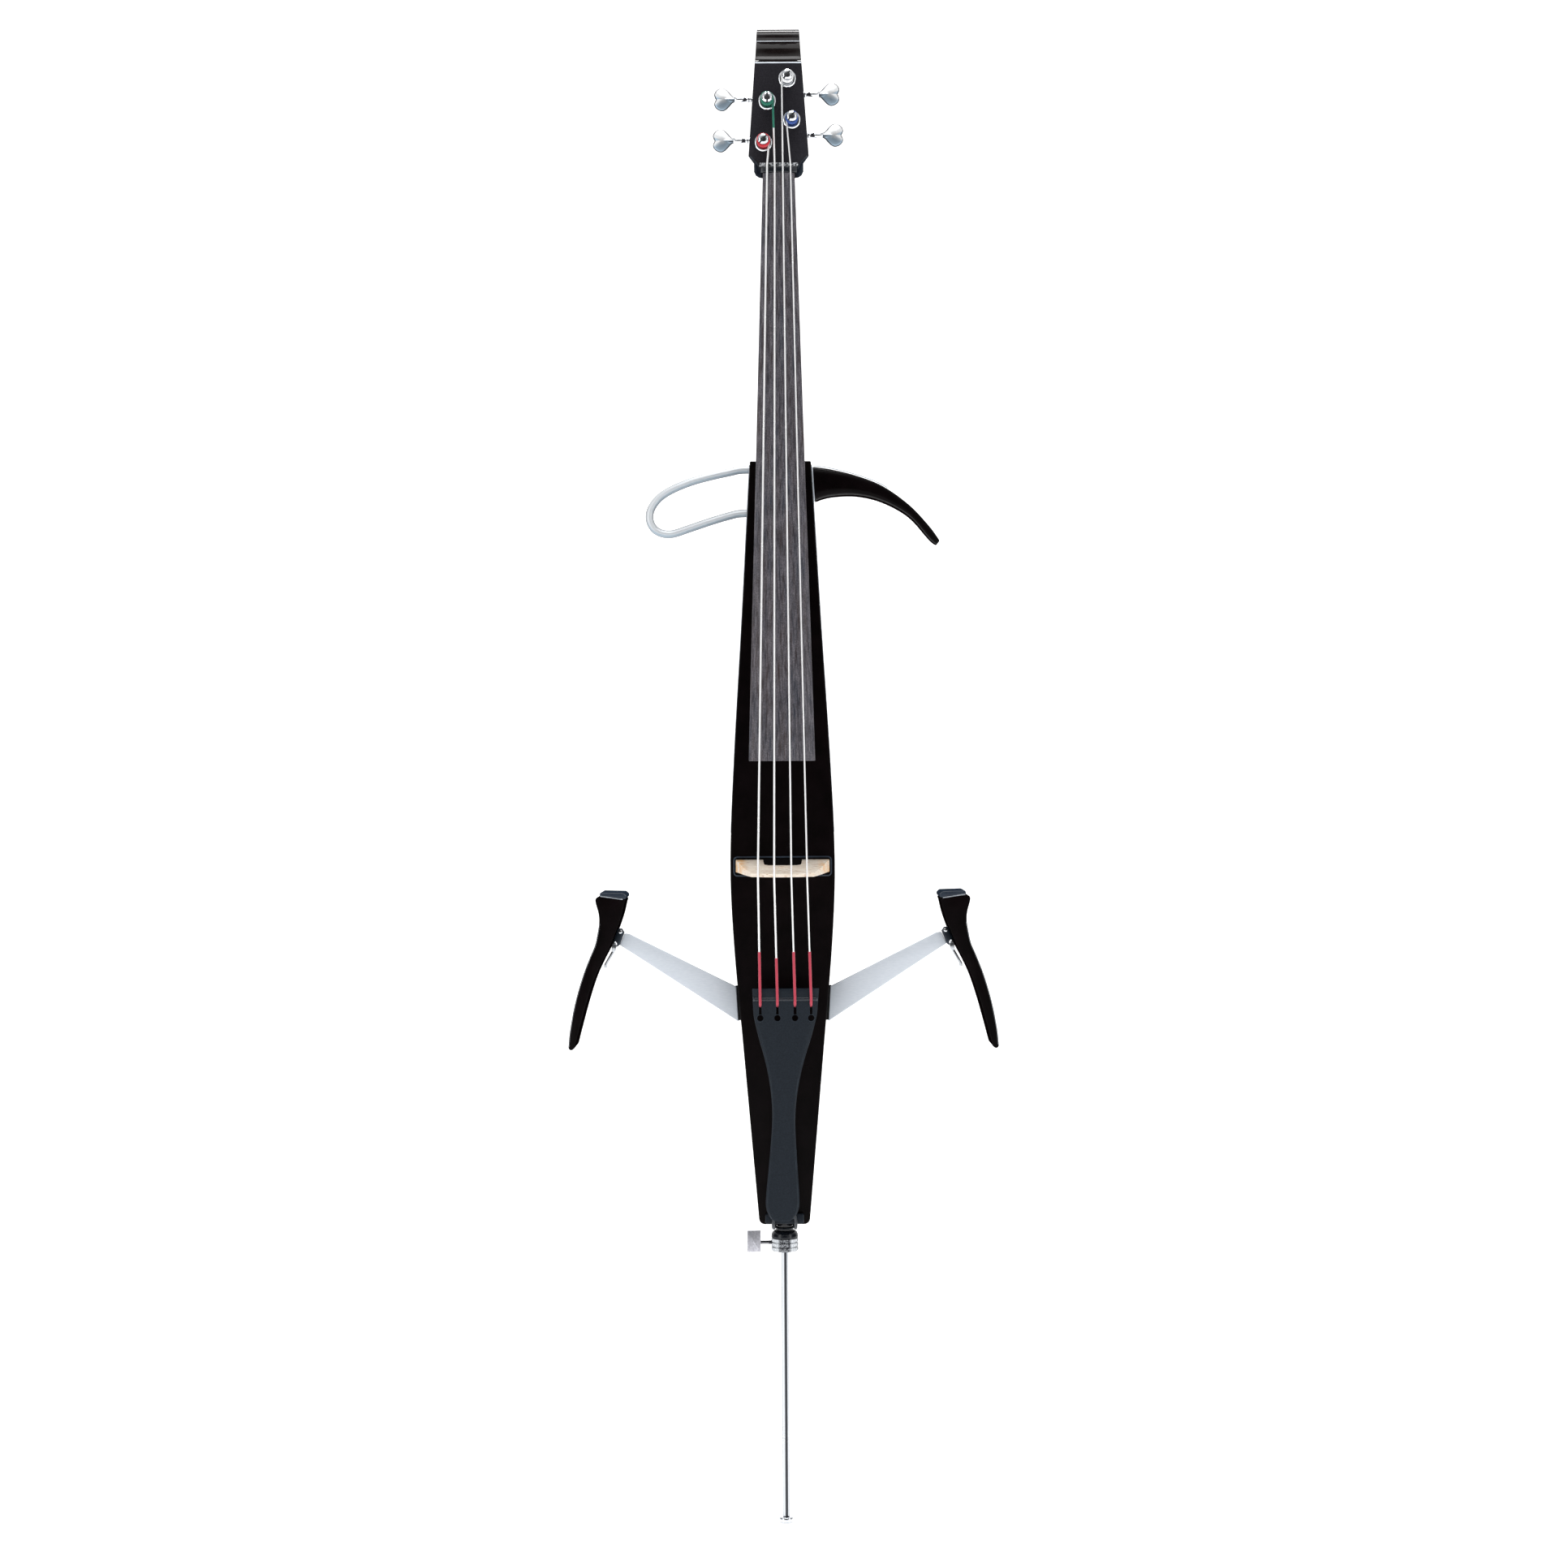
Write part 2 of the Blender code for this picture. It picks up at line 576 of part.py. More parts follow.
def head_front_outline():
    """Front outline of the head: tapered, with chamfers and a round shoulder into the neck."""
    right = [(16 * MM, 1335 * MM), (16 * MM, 1341 * MM), (19 * MM, 1341.4 * MM), (22.4 * MM, 1343.5 * MM),
             (24.2 * MM, 1347.3 * MM), (24.2 * MM, 1355.2 * MM), (29.6 * MM, 1362.6 * MM),
             (20.7 * MM, 1486 * MM), (20.5 * MM, 1495 * MM)]
    left = [(-x, z) for x, z in reversed(right)]
    return right + left


def make_head():
    """Head plate with a hole for each string post."""
    head = add("head", flat_mesh(head_side_profile(), "yz", -40 * MM, 40 * MM), CHARCOAL)
    boolean(head, flat_mesh(head_front_outline(), "xz", -60 * MM, 20 * MM), "INTERSECT")
    for x, z in POST_AT.values():
        cut(head, rod_mesh((x, -60 * MM, z), "y", 36 * MM, 6 * MM, segments=16))
        cut(head, rod_mesh((x, -60 * MM, z), "y", 60 * MM, 4.2 * MM, segments=16))


# ---------------------------------------------------------------- machine heads and strings

def gear_outline(centre, radius, teeth):
    """Outline of a gear wheel with plain teeth."""
    points = []
    for tooth in range(teeth):
        for share, level in ((-0.32, 0.86), (-0.17, 1.0), (0.17, 1.0), (0.32, 0.86)):
            angle = 2 * math.pi * (tooth + share) / teeth
            points.append((centre[0] + radius * level * math.cos(angle),
                           centre[1] + radius * level * math.sin(angle)))
    return points


def heart_outline(tip_x, side, z):
    """Front outline of a knob's paddle: narrow at the shaft, two lobes at the outer end."""
    half = [(-21.5, 2.4), (-18.5, 3.2), (-15.0, 7.0), (-11.5, 10.2), (-8.0, 11.4), (-4.0, 10.3),
            (-1.0, 7.6), (0.0, 4.4), (-0.9, 1.6), (-1.8, 0.0)]
    upper = [(side * (tip_x + u * MM), z + v * MM) for u, v in half]
    lower = [(x, 2 * z - v) for x, v in reversed(upper[:-1])]
    return upper + lower


def make_machine_head(name):
    """Ferrule, post with its gear, worm shaft with its knob, and the plate that carries them."""
    x, z = POST_AT[name]
    side = 1 if x > 0 else -1
    worm_z = z - side * WORM_OFFSET
    face = -HEAD_FRONT
    bore = POST_RADIUS + 2 * GAP
    ferrule_profile = [(bore, face + 2.2 * MM), (FERRULE_RADIUS - 1 * MM, face + 2.2 * MM),
                       (FERRULE_RADIUS, face + 1 * MM), (FERRULE_RADIUS, face + GAP), (5.7 * MM, face + GAP),
                       (5.7 * MM, 24.6 * MM), (bore, 24.6 * MM)]
    ferrule = turned_mesh(ferrule_profile, "z", (0, 0, 0), 18, True)
    ferrule.transform(Matrix.Translation((x, 0, z)) @ Matrix.Rotation(math.pi / 2, 4, "X"))
    add("ferrule_" + name, ferrule, CHROME)

    waist = face + 3.2 * MM
    tip = -POST_TIP
    inner_end = -WORM_Y - 3 * MM
    post_profile = [(0, tip), (4.6 * MM, tip), (5.4 * MM, tip - 1 * MM), (5.4 * MM, tip - 3 * MM),
                    (POST_WAIST, tip - 5 * MM), (POST_WAIST, waist), (POST_RADIUS, waist),
                    (POST_RADIUS, inner_end), (0, inner_end)]
    post_mesh = turned_mesh(post_profile, "z", (0, 0, 0), 12)
    post_mesh.transform(Matrix.Translation((x, 0, z)) @ Matrix.Rotation(math.pi / 2, 4, "X"))
    post = add("string_post_" + name, post_mesh, CHROME, (x, WORM_Y, z))
    wheel = gear_outline((x, z), GEAR_RADIUS, GEAR_TEETH)
    join(post, flat_mesh(wheel, "xz", WORM_Y - 2.6 * MM, WORM_Y + 2.6 * MM))
    cut(post, box_mesh((x - 0.8 * MM, POST_TIP - 1 * MM, z - 8 * MM),
                       (x + 0.8 * MM, POST_TIP + 4 * MM, z + 8 * MM)))

    inner = abs(x) - 7 * MM
    shaft_length = KNOB_END[name] - 18 * MM - inner
    shaft = rod_mesh((side * inner, WORM_Y, worm_z), "x", side * shaft_length, 1.9 * MM, segments=12)
    knob = add("worm_knob_" + name, shaft, CHROME, (0, WORM_Y, worm_z))
    worm_start = (side * (abs(x) - 4.6 * MM), WORM_Y, worm_z)
    join(knob, rod_mesh(worm_start, "x", side * 9.2 * MM, WORM_RADIUS, segments=12))
    sleeve_start = (side * (KNOB_END[name] - 37 * MM), WORM_Y, worm_z)
    join(knob, rod_mesh(sleeve_start, "x", side * SLEEVE_LENGTH, SLEEVE_RADIUS, segments=16))
    paddle = heart_outline(KNOB_END[name], side, worm_z)
    join(knob, flat_mesh(paddle, "xz", WORM_Y - 2.2 * MM, WORM_Y + 2.2 * MM))

    near = abs(x) - 9.6 * MM
    far = abs(x) + 9.2 * MM
    lows = sorted((z - side * 13.2 * MM, z + side * 7 * MM))
    xs = sorted((side * near, side * far))
    back = box_mesh((xs[0], HEAD_BACK + GAP, lows[0]), (xs[1], HEAD_BACK + 1.6 * MM, lows[1]))
    plate = add("tuner_plate_" + name, back, STEEL)
    for edge in (near, far - LUG_THICK):
        lug = sorted((side * edge, side * (edge + LUG_THICK)))
        join(plate, box_mesh((lug[0], HEAD_BACK + 1 * MM, worm_z - 3.6 * MM),
                             (lug[1], WORM_Y + 3.6 * MM, worm_z + 3.6 * MM)))
    cut(plate, rod_mesh((side * (near - 2 * MM), WORM_Y, worm_z), "x", side * 24 * MM, 2.2 * MM, segments=12))
    cut(plate, rod_mesh((x, -12 * MM, z), "y", 12 * MM, bore, segments=16))


def tail_front(z):
    """Y of the tailpiece's front at height z."""
    share = (TAIL_TOP - z) / (TAIL_TOP - TAIL_BOTTOM)
    return TAIL_TOP_Y + share * (TAIL_BOTTOM_Y - TAIL_TOP_Y)


def string_points(name):
    """Route of a string: turns on its post, over nut and bridge, into its keyhole."""
    x, z = POST_AT[name]
    side = 1 if x > 0 else -1
    radius = STRING_RADIUS[name]
    coil = (POST_WAIST + GAP + radius) / math.cos(math.pi / 8)
    turns = 2.5
    steps = 8
    points = []
    for i in range(int(turns * steps) + 1):
        angle = math.pi - 2 * math.pi * (turns - i / steps)
        along = -45 * MM + (HEAD_FRONT - 5.4 * MM + 45 * MM) * i / (turns * steps)
        points.append((x + side * coil * math.cos(angle), along, z + coil * math.sin(angle)))
    nut_y = NUT_STRING_Y - radius + board_drop(STRING_NUT_X[name]) * 0.6
    points.append((STRING_NUT_X[name], nut_y, 1352 * MM))
    points.append((STRING_NUT_X[name], nut_y, NUT_Z))
    crown = BRIDGE_STRING_Y + board_drop(STRING_BRIDGE_X[name])
    points.append((STRING_BRIDGE_X[name], crown - radius, BRIDGE_Z + 3.4 * MM))
    points.append((STRING_BRIDGE_X[name], crown - radius, BRIDGE_Z - 0.4 * MM))
    tail_x = STRING_TAIL_X[name]
    over = tail_front(RIDGE_Z) - 1.9 * MM - radius
    points.append((tail_x, over, RIDGE_Z + 1 * MM))
    points.append((tail_x, over, RIDGE_Z - 1.5 * MM))
    points.append((tail_x, tail_front(KEYSLOT_TOP) - 0.6 * MM, KEYSLOT_TOP - 1.8 * MM))
    points.append((tail_x, tail_front(KEYSLOT_TOP) + 4.5 * MM, KEYSLOT_TOP - 3.6 * MM))
    return points


def make_string(name):
    """One wound steel string."""
    wire("string_" + name, string_points(name), STRING_RADIUS[name], STEEL)


# ---------------------------------------------------------------- bridge, pickup and tailpiece

def bridge_outline():
    """Outline of the bridge across the body: two feet, an arch, sloping sides and a round crown."""
    foot = BRIDGE_FOOT_Y / MM - 0.3
    half = [(19, foot), (45.9, foot), (45.9, foot - 5), (43.5, foot - 14), (41, foot - 27),
            (38.5, foot - 40), (35.5, foot - 52), (33, foot - 63), (30, foot - 72.5)]
    crown = [(x, BRIDGE_STRING_Y / MM + 0.4 + board_drop(x * MM) / MM) for x in (23, 12, 0)]
    arch = [(0, foot - 32), (13.5, foot - 31), (17.4, foot - 27), (18.6, foot - 13)]
    right = half + crown
    left = [(-x, y) for x, y in reversed(right[:-1])]
    under = [(-x, y) for x, y in reversed(arch[1:])] + arch
    return mm(right + left + under)


def make_bridge():
    """Maple bridge, thick at the feet and thin at the crown."""
    mesh = flat_mesh(bridge_outline(), "xy", -FOOT_THICK / 2, FOOT_THICK / 2)
    height = BRIDGE_FOOT_Y - BRIDGE_STRING_Y
    for vertex in mesh.vertices:
        share = (BRIDGE_FOOT_Y - vertex.co.y) / height
        thick = FOOT_THICK + (CROWN_THICK - FOOT_THICK) * share
        middle = BRIDGE_CENTRE_Z + share * (BRIDGE_Z + 1.6 * MM - BRIDGE_CENTRE_Z)
        vertex.co.z = middle + vertex.co.z * thick / FOOT_THICK
    bridge = add("bridge", mesh, MAPLE)
    heart = rounded_rectangle(4 * MM, 5 * MM, 3 * MM, (0, BRIDGE_FOOT_Y - 44 * MM))
    cut(bridge, flat_mesh(heart, "xy", 640 * MM, 690 * MM))


def make_pickup():
    """Inlaid frame round the bridge's feet and the pickup plate inside it."""
    outer = rounded_rectangle(FRAME_HALF_X, FRAME_HALF_Z, 4 * MM, (0, FRAME_CENTRE_Z))
    inner = rounded_rectangle(FRAME_HALF_X - FRAME_WALL, FRAME_HALF_Z - FRAME_WALL, 2.7 * MM,
                              (0, FRAME_CENTRE_Z))
    rim = flat_mesh(outer, "xz", BODY_FRONT - 0.5 * MM, BODY_FRONT + 4.6 * MM)
    frame = add("pickup_frame", rim, CHARCOAL)
    cut(frame, flat_mesh(inner, "xz", BODY_FRONT - 5 * MM, BODY_FRONT + 10 * MM))
    plate = rounded_rectangle(FRAME_HALF_X - FRAME_WALL - GAP, FRAME_HALF_Z - FRAME_WALL - GAP, 2.4 * MM,
                              (0, FRAME_CENTRE_Z))
    add("bridge_pickup", flat_mesh(plate, "xz", BRIDGE_FOOT_Y, BODY_FRONT + 4.6 * MM), BLACK_PLASTIC)


def make_tailpiece():
    """Leaning tailpiece with a string ridge and four keyholes."""
    right = [(half * MM + (z - 435) * TAIL_LEAN * MM, z * MM) for z, half in TAIL_STATIONS]
    left = [(-half * MM + (z - 435) * TAIL_LEAN * MM, z * MM) for z, half in reversed(TAIL_STATIONS)]
    mesh = flat_mesh(right + left, "xz", 0, TAIL_THICK)
    for vertex in mesh.vertices:
        vertex.co.y += tail_front(vertex.co.z)
    tail = add("tailpiece", mesh, CHARCOAL)
    bevel(tail, 1.6 * MM, 1, 50)
    front = tail_front(RIDGE_Z)
    ridge = rod_mesh((-29.6 * MM, front + 0.6 * MM, RIDGE_Z), "x", 63 * MM, 2.2 * MM, segments=12)
    join(tail, ridge)
    for name in STRINGS:
        x = STRING_TAIL_X[name]
        y = tail_front(KEYHOLE_Z) - 6 * MM
        cut(tail, rod_mesh((x, y, KEYHOLE_Z), "y", 20 * MM, KEYHOLE_RADIUS, segments=12))
        cut(tail, box_mesh((x - KEYSLOT_HALF, y, KEYHOLE_Z),
                           (x + KEYSLOT_HALF, y + 20 * MM, KEYSLOT_TOP)))


def make_saddle_and_gut():
    """Saddle block and the gut that ties the tailpiece to the endpin socket."""
    saddle = add("saddle", box_mesh((-19 * MM, -33.5 * MM, 316.6 * MM),
                                    (19 * MM, BODY_FRONT - GAP, 326 * MM)), CHARCOAL)
    bevel(saddle, 1 * MM, 1)
    run = mm([(8, -38.2, 338), (9.8, -36.5, 326), (10.9, -35.9, 319), (11.1, -34.8, 314.4),
              (10.8, -29, 309.7), (10.0, -14, 308.8)])
    loop = NECK_RING + GAP + GUT_RADIUS
    around = []
    for i in range(9):
        angle = math.radians(-10 + 200 * i / 8)
        around.append((loop * math.cos(angle), loop * math.sin(angle), 308.8 * MM))
    points = run + around + [(-x, y, z) for x, y, z in reversed(run)]
    wire("tailgut", points, GUT_RADIUS, STEEL)


# ---------------------------------------------------------------- endpin

def make_endpin():
    """Socket, guide tube, clamp collar with its thumbscrew, sliding rod and its tip."""
    bore = ROD_RADIUS + GAP
    outside = mm([(12, 340), (12, 312.2), (7.6, 311.2), (7.6, 305.8), (9.4, 305.6), (11.8, 304.3),
                  (12.9, 302.3), (13.2, 299.8), (13.2, 298.5)])
    socket = [(bore, 340 * MM), *outside, (bore, 298.5 * MM)]
    add("endpin_socket", turned_mesh(socket, steps=24, closed=True), BLACK_PLASTIC)
    tube = [(4 * MM, 612 * MM), (6.6 * MM, 612 * MM), (6.6 * MM, 340.4 * MM), (4 * MM, 340.4 * MM)]
    add("endpin_tube", turned_mesh(tube, steps=16, closed=True), ALUMINIUM)
    collar = [(bore, COLLAR_HIGH), (12.6 * MM, COLLAR_HIGH), (COLLAR_RADIUS, COLLAR_HIGH - 0.8 * MM),
              (COLLAR_RADIUS, COLLAR_LOW + 0.8 * MM), (12.6 * MM, COLLAR_LOW), (bore, COLLAR_LOW)]
    ring = add("endpin_collar", turned_mesh(collar, steps=28, closed=True), CHROME)
    cut(ring, rod_mesh((-20 * MM, 0, SCREW_Z), "x", 20 * MM, 2.5 * MM, segments=12))
    screw = add("endpin_thumbscrew", rod_mesh((-4.2 * MM, 0, SCREW_Z), "x", -21 * MM, 2.1 * MM, segments=12),
                STEEL, (0, 0, SCREW_Z))
    paddle = rounded_rectangle(PADDLE_HALF_X, PADDLE_HALF_Z, 1 * MM, PADDLE_CENTRE, 2)
    join(screw, flat_mesh(paddle, "xz", -2.4 * MM, 2.4 * MM))
    rod_low = STOP_HIGH + GAP
    add("endpin_rod", rod_mesh((0, 0, rod_low), "z", ROD_TOP - rod_low, ROD_RADIUS, segments=16), STEEL)
    tip = [(0, STOP_HIGH), (6.6 * MM, STOP_HIGH), (7.6 * MM, STOP_HIGH - 1 * MM),
           (7.6 * MM, STOP_LOW + 1 * MM), (6.6 * MM, STOP_LOW), (2.6 * MM, STOP_LOW), (2.2 * MM, 8 * MM),
           (0.9 * MM, 0), (0, 0)]
    add("endpin_tip", turned_mesh(tip, steps=20), CHROME)


# ---------------------------------------------------------------- knee supports

def make_bracket(side, label):
    """Bracket on the body's side with two lugs for the arm's pin."""
    z_middle = (BRACKET_LOW + BRACKET_HIGH) / 2
    half_low = between(BODY_STATIONS, BRACKET_LOW / MM) * MM + GAP + 0.1 * MM
    half_high = between(BODY_STATIONS, BRACKET_HIGH / MM) * MM + GAP + 0.1 * MM
    outline = [(side * half_low, BRACKET_LOW), (side * (half_low + BRACKET_THICK), BRACKET_LOW),
               (side * (half_high + BRACKET_THICK), BRACKET_HIGH), (side * half_high, BRACKET_HIGH)]
    bracket = add("arm_bracket_" + label, flat_mesh(outline, "xz", -6.4 * MM, 14 * MM), BLACK_PLASTIC)
    for low in (z_middle - 12 * MM, z_middle + 7 * MM):
        inner = between(BODY_STATIONS, low / MM) * MM + 1.6 * MM
        xs = sorted((side * inner, side * (ARM_PIN_X + 3.4 * MM)))
        join(bracket, box_mesh((xs[0], -3.4 * MM, low), (xs[1], 3.4 * MM, low + LUG_HEIGHT)))
    cut(bracket, rod_mesh((side * ARM_PIN_X, 0, BRACKET_LOW - 5 * MM), "z", 45 * MM, 2.2 * MM, segments=12))


def make_arm(side, label):
    """Tapered plate with a knuckle and a pin that turns in the bracket's lugs."""
    outline = mm([(44.4, 513.0), (150, 582.0), (159.1, 587.9), (153.2, 599.5), (148.5, 598.6),
                  (46.4, 547.5)])
    outline = [(side * u, v) for u, v in outline]
    origin = (side * ARM_PIN_X, 0, (BRACKET_LOW + BRACKET_HIGH) / 2)
    plate = flat_mesh(outline, "xz", ARM_Y - ARM_THICK / 2, ARM_Y + ARM_THICK / 2)
    arm = add("knee_arm_" + label, plate, ALUMINIUM, origin)
    z_middle = origin[2]
    web = sorted((side * (ARM_PIN_X - 1.5 * MM), side * (ARM_PIN_X + 3 * MM)))
    join(arm, box_mesh((web[0], ARM_Y, z_middle - 6.6 * MM), (web[1], 0, z_middle + 6.6 * MM)))
    join(arm, rod_mesh((side * ARM_PIN_X, 0, z_middle - 6.6 * MM), "z", 13.2 * MM, 3.2 * MM, segments=16))
    join(arm, rod_mesh((side * ARM_PIN_X, 0, z_middle - 12 * MM), "z", 24 * MM, PIN_RADIUS, segments=12))


def make_knee_piece(side, label):
    """Knee piece shaped like a strip of the lower bout, with its cap, hinge block and lever."""
    pin = (side * KNEE_PIN[0], 0, KNEE_PIN[1])
    outline = [(side * u, v) for u, v in mm(KNEE_OUTER + KNEE_INNER)]
    piece = add("knee_piece_" + label, flat_mesh(outline, "xz", KNEE_FRONT, KNEE_BACK), BLACK_LACQUER, pin)
    bevel(piece, 1.2 * MM, 2, 50)
    cap = mm([(155.0, 634.9), (180.3, 638.6), (179.4, 641.6), (157.0, 641.0), (154.0, 638.0)])
    cap = [(side * u, v) for u, v in cap]
    cap_mesh = flat_mesh(cap, "xz", KNEE_FRONT + 0.5 * MM, KNEE_BACK - 0.5 * MM)
    add("knee_cap_" + label, cap_mesh, CHARCOAL, pin)

    block = mm([(159.6, 605.0), (163.0, 605.0), (168.8, 591.0), (165.6, 586.6), (159.3, 588.4),
                (153.2, 600.3)])
    block = [(side * u, v) for u, v in block]
    block_mesh = flat_mesh(block, "xz", -17 * MM, 3 * MM)
    add("knee_hinge_block_" + label, block_mesh, BLACK_PLASTIC, pin)

    lever = mm([(166.2, 586.0), (168.9, 583.6), (176.4, 570.4), (176.6, 566.6), (173.6, 567.0),
                (173.4, 570.4), (166.4, 582.2), (164.6, 584.6)])
    lever = [(side * u, v) for u, v in lever]
    lever_pin = (side * LEVER_PIN[0], 0, LEVER_PIN[1])
    add("knee_lever_" + label, flat_mesh(lever, "xz", -14 * MM, -4 * MM), STEEL, lever_pin)


# ---------------------------------------------------------------- horn and shoulder loop

def make_upper_bout():
    """Curved horn on two pegs, the plate at its root and the screw that holds the pegs."""
    outline = mm([(32.2, 1060.6), (50, 1057.9), (75.7, 1051.3), (101.3, 1040.9), (126.9, 1022.5),
                  (146, 1002.4), (155.6, 989.4), (156.8, 986.0), (155.2, 983.6), (152.4, 984.0),
                  (146, 989.6), (126.8, 1011.2), (101.3, 1025.7), (75.6, 1032.1), (50, 1031.3),
                  (34.2, 1026.8)])
    horn = add("upper_bout", flat_mesh(outline, "xz", -HORN_HALF_DEPTH, HORN_HALF_DEPTH), BLACK_LACQUER,
               (HORN_ROOT, 0, 1042 * MM))
    bevel(horn, 2 * MM, 2, 50)
    root = []
    for z, out in ((HORN_PLATE_LOW, 0), (HORN_PLATE_HIGH, 0), (HORN_PLATE_HIGH, 1), (HORN_PLATE_LOW, 1)):
        inner = between(BODY_STATIONS, z / MM) * MM + GAP + 0.1 * MM
        root.append((inner + out * HORN_PLATE_THICK, z))
    depth = HORN_HALF_DEPTH - 1 * MM
    plate = add("upper_bout_plate", flat_mesh(root, "xz", -depth, depth), ALUMINIUM)
    for z in PEG_Z:
        join(plate, rod_mesh((14 * MM, 0, z), "x", 18 * MM, PEG_RADIUS, segments=16))
    profile = mm([(0, 11), (7, 11), (8, 10), (8, 3), (6, 0.4), (2.2, 0.4), (2.2, -14), (0, -14)])
    at = (22 * MM, BODY_BACK, 1042 * MM)
    add("upper_bout_screw", turned_mesh(profile, "y", at, 16), CHROME, at)


def make_shoulder_loop():
    """Bent rod that stands for the left shoulder, with both ends in the body."""
    outer = mm([(-14, 1058.6), (-38, 1058.6), (-50, 1056.4), (-70.3, 1052), (-89.6, 1046.7), (-108.9, 1038.7),
                (-121.5, 1030.0), (-129.0, 1018.6), (-129.2, 1007.5), (-122.6, 998.4), (-109.2, 995.3),
                (-89.9, 1001.0), (-70.6, 1007.4), (-50, 1013.4), (-38, 1015.5), (-14, 1015.5)])
    points = [(x, 0, z) for x, z in outer]
    wire("shoulder_loop", points, LOOP_RADIUS, ALUMINIUM, (-40 * MM, 0, 1037 * MM))


def build():
    """Make every part of the instrument."""
    make_body()
    make_back_cover()
    make_controls()
    make_neck()
    make_fingerboard()
    make_nut()
    make_head()
    for name in STRINGS:
        make_machine_head(name)
        make_string(name)
    make_bridge()
    make_pickup()
    make_tailpiece()
    make_saddle_and_gut()
    make_endpin()
    for side, label in ((-1, "left"), (1, "right")):
        make_bracket(side, label)
        make_arm(side, label)
        make_knee_piece(side, label)
    make_upper_bout()
    make_shoulder_loop()


build()
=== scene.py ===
# %% [markdown]
# # An electric frame cello
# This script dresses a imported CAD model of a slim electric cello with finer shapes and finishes.
# The frame gives every CAD node in metres, and a new piece is drawn round the same places, so
# nothing has to be fitted afterwards. Shapes are drawn in millimetres and scaled once, at the end.

# %% Load the frame
import json
import math

import bmesh
import bpy
from mathutils import Matrix, Vector

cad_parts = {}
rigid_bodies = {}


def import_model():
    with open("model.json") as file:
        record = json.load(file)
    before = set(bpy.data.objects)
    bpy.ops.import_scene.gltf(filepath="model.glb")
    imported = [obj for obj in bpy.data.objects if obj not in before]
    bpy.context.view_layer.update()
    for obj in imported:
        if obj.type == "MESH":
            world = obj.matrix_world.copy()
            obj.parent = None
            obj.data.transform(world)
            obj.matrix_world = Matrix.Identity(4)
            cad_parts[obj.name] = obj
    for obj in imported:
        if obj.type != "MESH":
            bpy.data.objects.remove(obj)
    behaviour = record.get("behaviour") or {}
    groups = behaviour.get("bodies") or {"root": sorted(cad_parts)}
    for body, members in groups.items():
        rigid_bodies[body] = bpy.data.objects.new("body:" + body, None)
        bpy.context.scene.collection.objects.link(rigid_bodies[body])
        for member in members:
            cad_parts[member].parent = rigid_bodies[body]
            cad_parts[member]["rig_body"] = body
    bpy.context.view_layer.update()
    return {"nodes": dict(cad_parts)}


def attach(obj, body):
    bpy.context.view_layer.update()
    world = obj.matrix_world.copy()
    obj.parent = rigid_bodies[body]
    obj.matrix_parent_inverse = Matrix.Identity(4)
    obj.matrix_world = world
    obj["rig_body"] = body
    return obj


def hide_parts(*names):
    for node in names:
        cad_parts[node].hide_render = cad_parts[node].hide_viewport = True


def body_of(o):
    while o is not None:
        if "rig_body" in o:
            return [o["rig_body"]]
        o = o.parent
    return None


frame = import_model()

MM = 0.001
scene = bpy.context.scene

# %% [markdown]
# ## Camera
# The instrument is seen straight from the front, a little above half its height, with a long
# lens. It leans a third of a degree to the left, so the camera is turned by that much.

# %% Make the camera
camera = bpy.data.objects.new("camera", bpy.data.cameras.new("camera"))
camera.data.lens = 64.3
camera.location = (0.0018, -2.775, 0.7473)
camera.rotation_euler = (math.radians(90), math.radians(0.325), 0)
scene.collection.objects.link(camera)
scene.camera = camera
scene.view_settings.view_transform = "Standard"
print("camera", tuple(camera.location), "lens", camera.data.lens)

# %% [markdown]
# ## Studio
# A white sheet runs along the floor and up behind the instrument in one bend, as in a product
# studio. Black lacquer and chrome show only what they reflect, so the room is dark straight ahead,
# where the flat black faces look, and it has a dark flag on each side: that draws the dark line
# just inside each chrome edge. Two tall softboxes light the rounded metal from left and right, and
# a wide one above the front draws the bright lines on the head's polished crest. The sheet bends up
# well behind the instrument, so there is room to walk round it with a camera.


# %% Helper for shader nodes
def put(tree, kind, inputs=None, **settings):
    """Add a node, set its fields, and set or link its inputs."""
    node = tree.nodes.new(kind)
    for field, value in settings.items():
        setattr(node, field, value)
    for label, value in (inputs or {}).items():
        socket = node.inputs[label]
        if isinstance(value, bpy.types.NodeSocket):
            tree.links.new(value, socket)
        else:
            socket.default_value = value
    return node


# %% Room light with a dark flag on each side
world = bpy.data.worlds.new("studio_room")
world.use_nodes = True
scene.world = world
room = world.node_tree
direction = put(room, "ShaderNodeTexCoord").outputs["Generated"]
axes = put(room, "ShaderNodeSeparateXYZ", {"Vector": direction})
sideways = put(room, "ShaderNodeMath", {0: axes.outputs["X"]}, operation="ABSOLUTE")
flag = put(room, "ShaderNodeMapRange", {"Value": sideways.outputs[0], "From Min": 0.84, "From Max": 0.95,
                                        "To Min": 1.0, "To Max": 0.10}, interpolation_type="SMOOTHSTEP")
ahead = put(room, "ShaderNodeMapRange", {"Value": axes.outputs["Y"], "From Min": -0.985, "From Max": -0.84,
                                         "To Min": 0.03, "To Max": 0.62}, interpolation_type="SMOOTHSTEP")
level = put(room, "ShaderNodeMath", {0: flag.outputs["Result"], 1: ahead.outputs["Result"]},
            operation="MULTIPLY")
room.links.new(level.outputs[0], room.nodes["Background"].inputs["Color"])
room.nodes["Background"].inputs["Strength"].default_value = 1.0


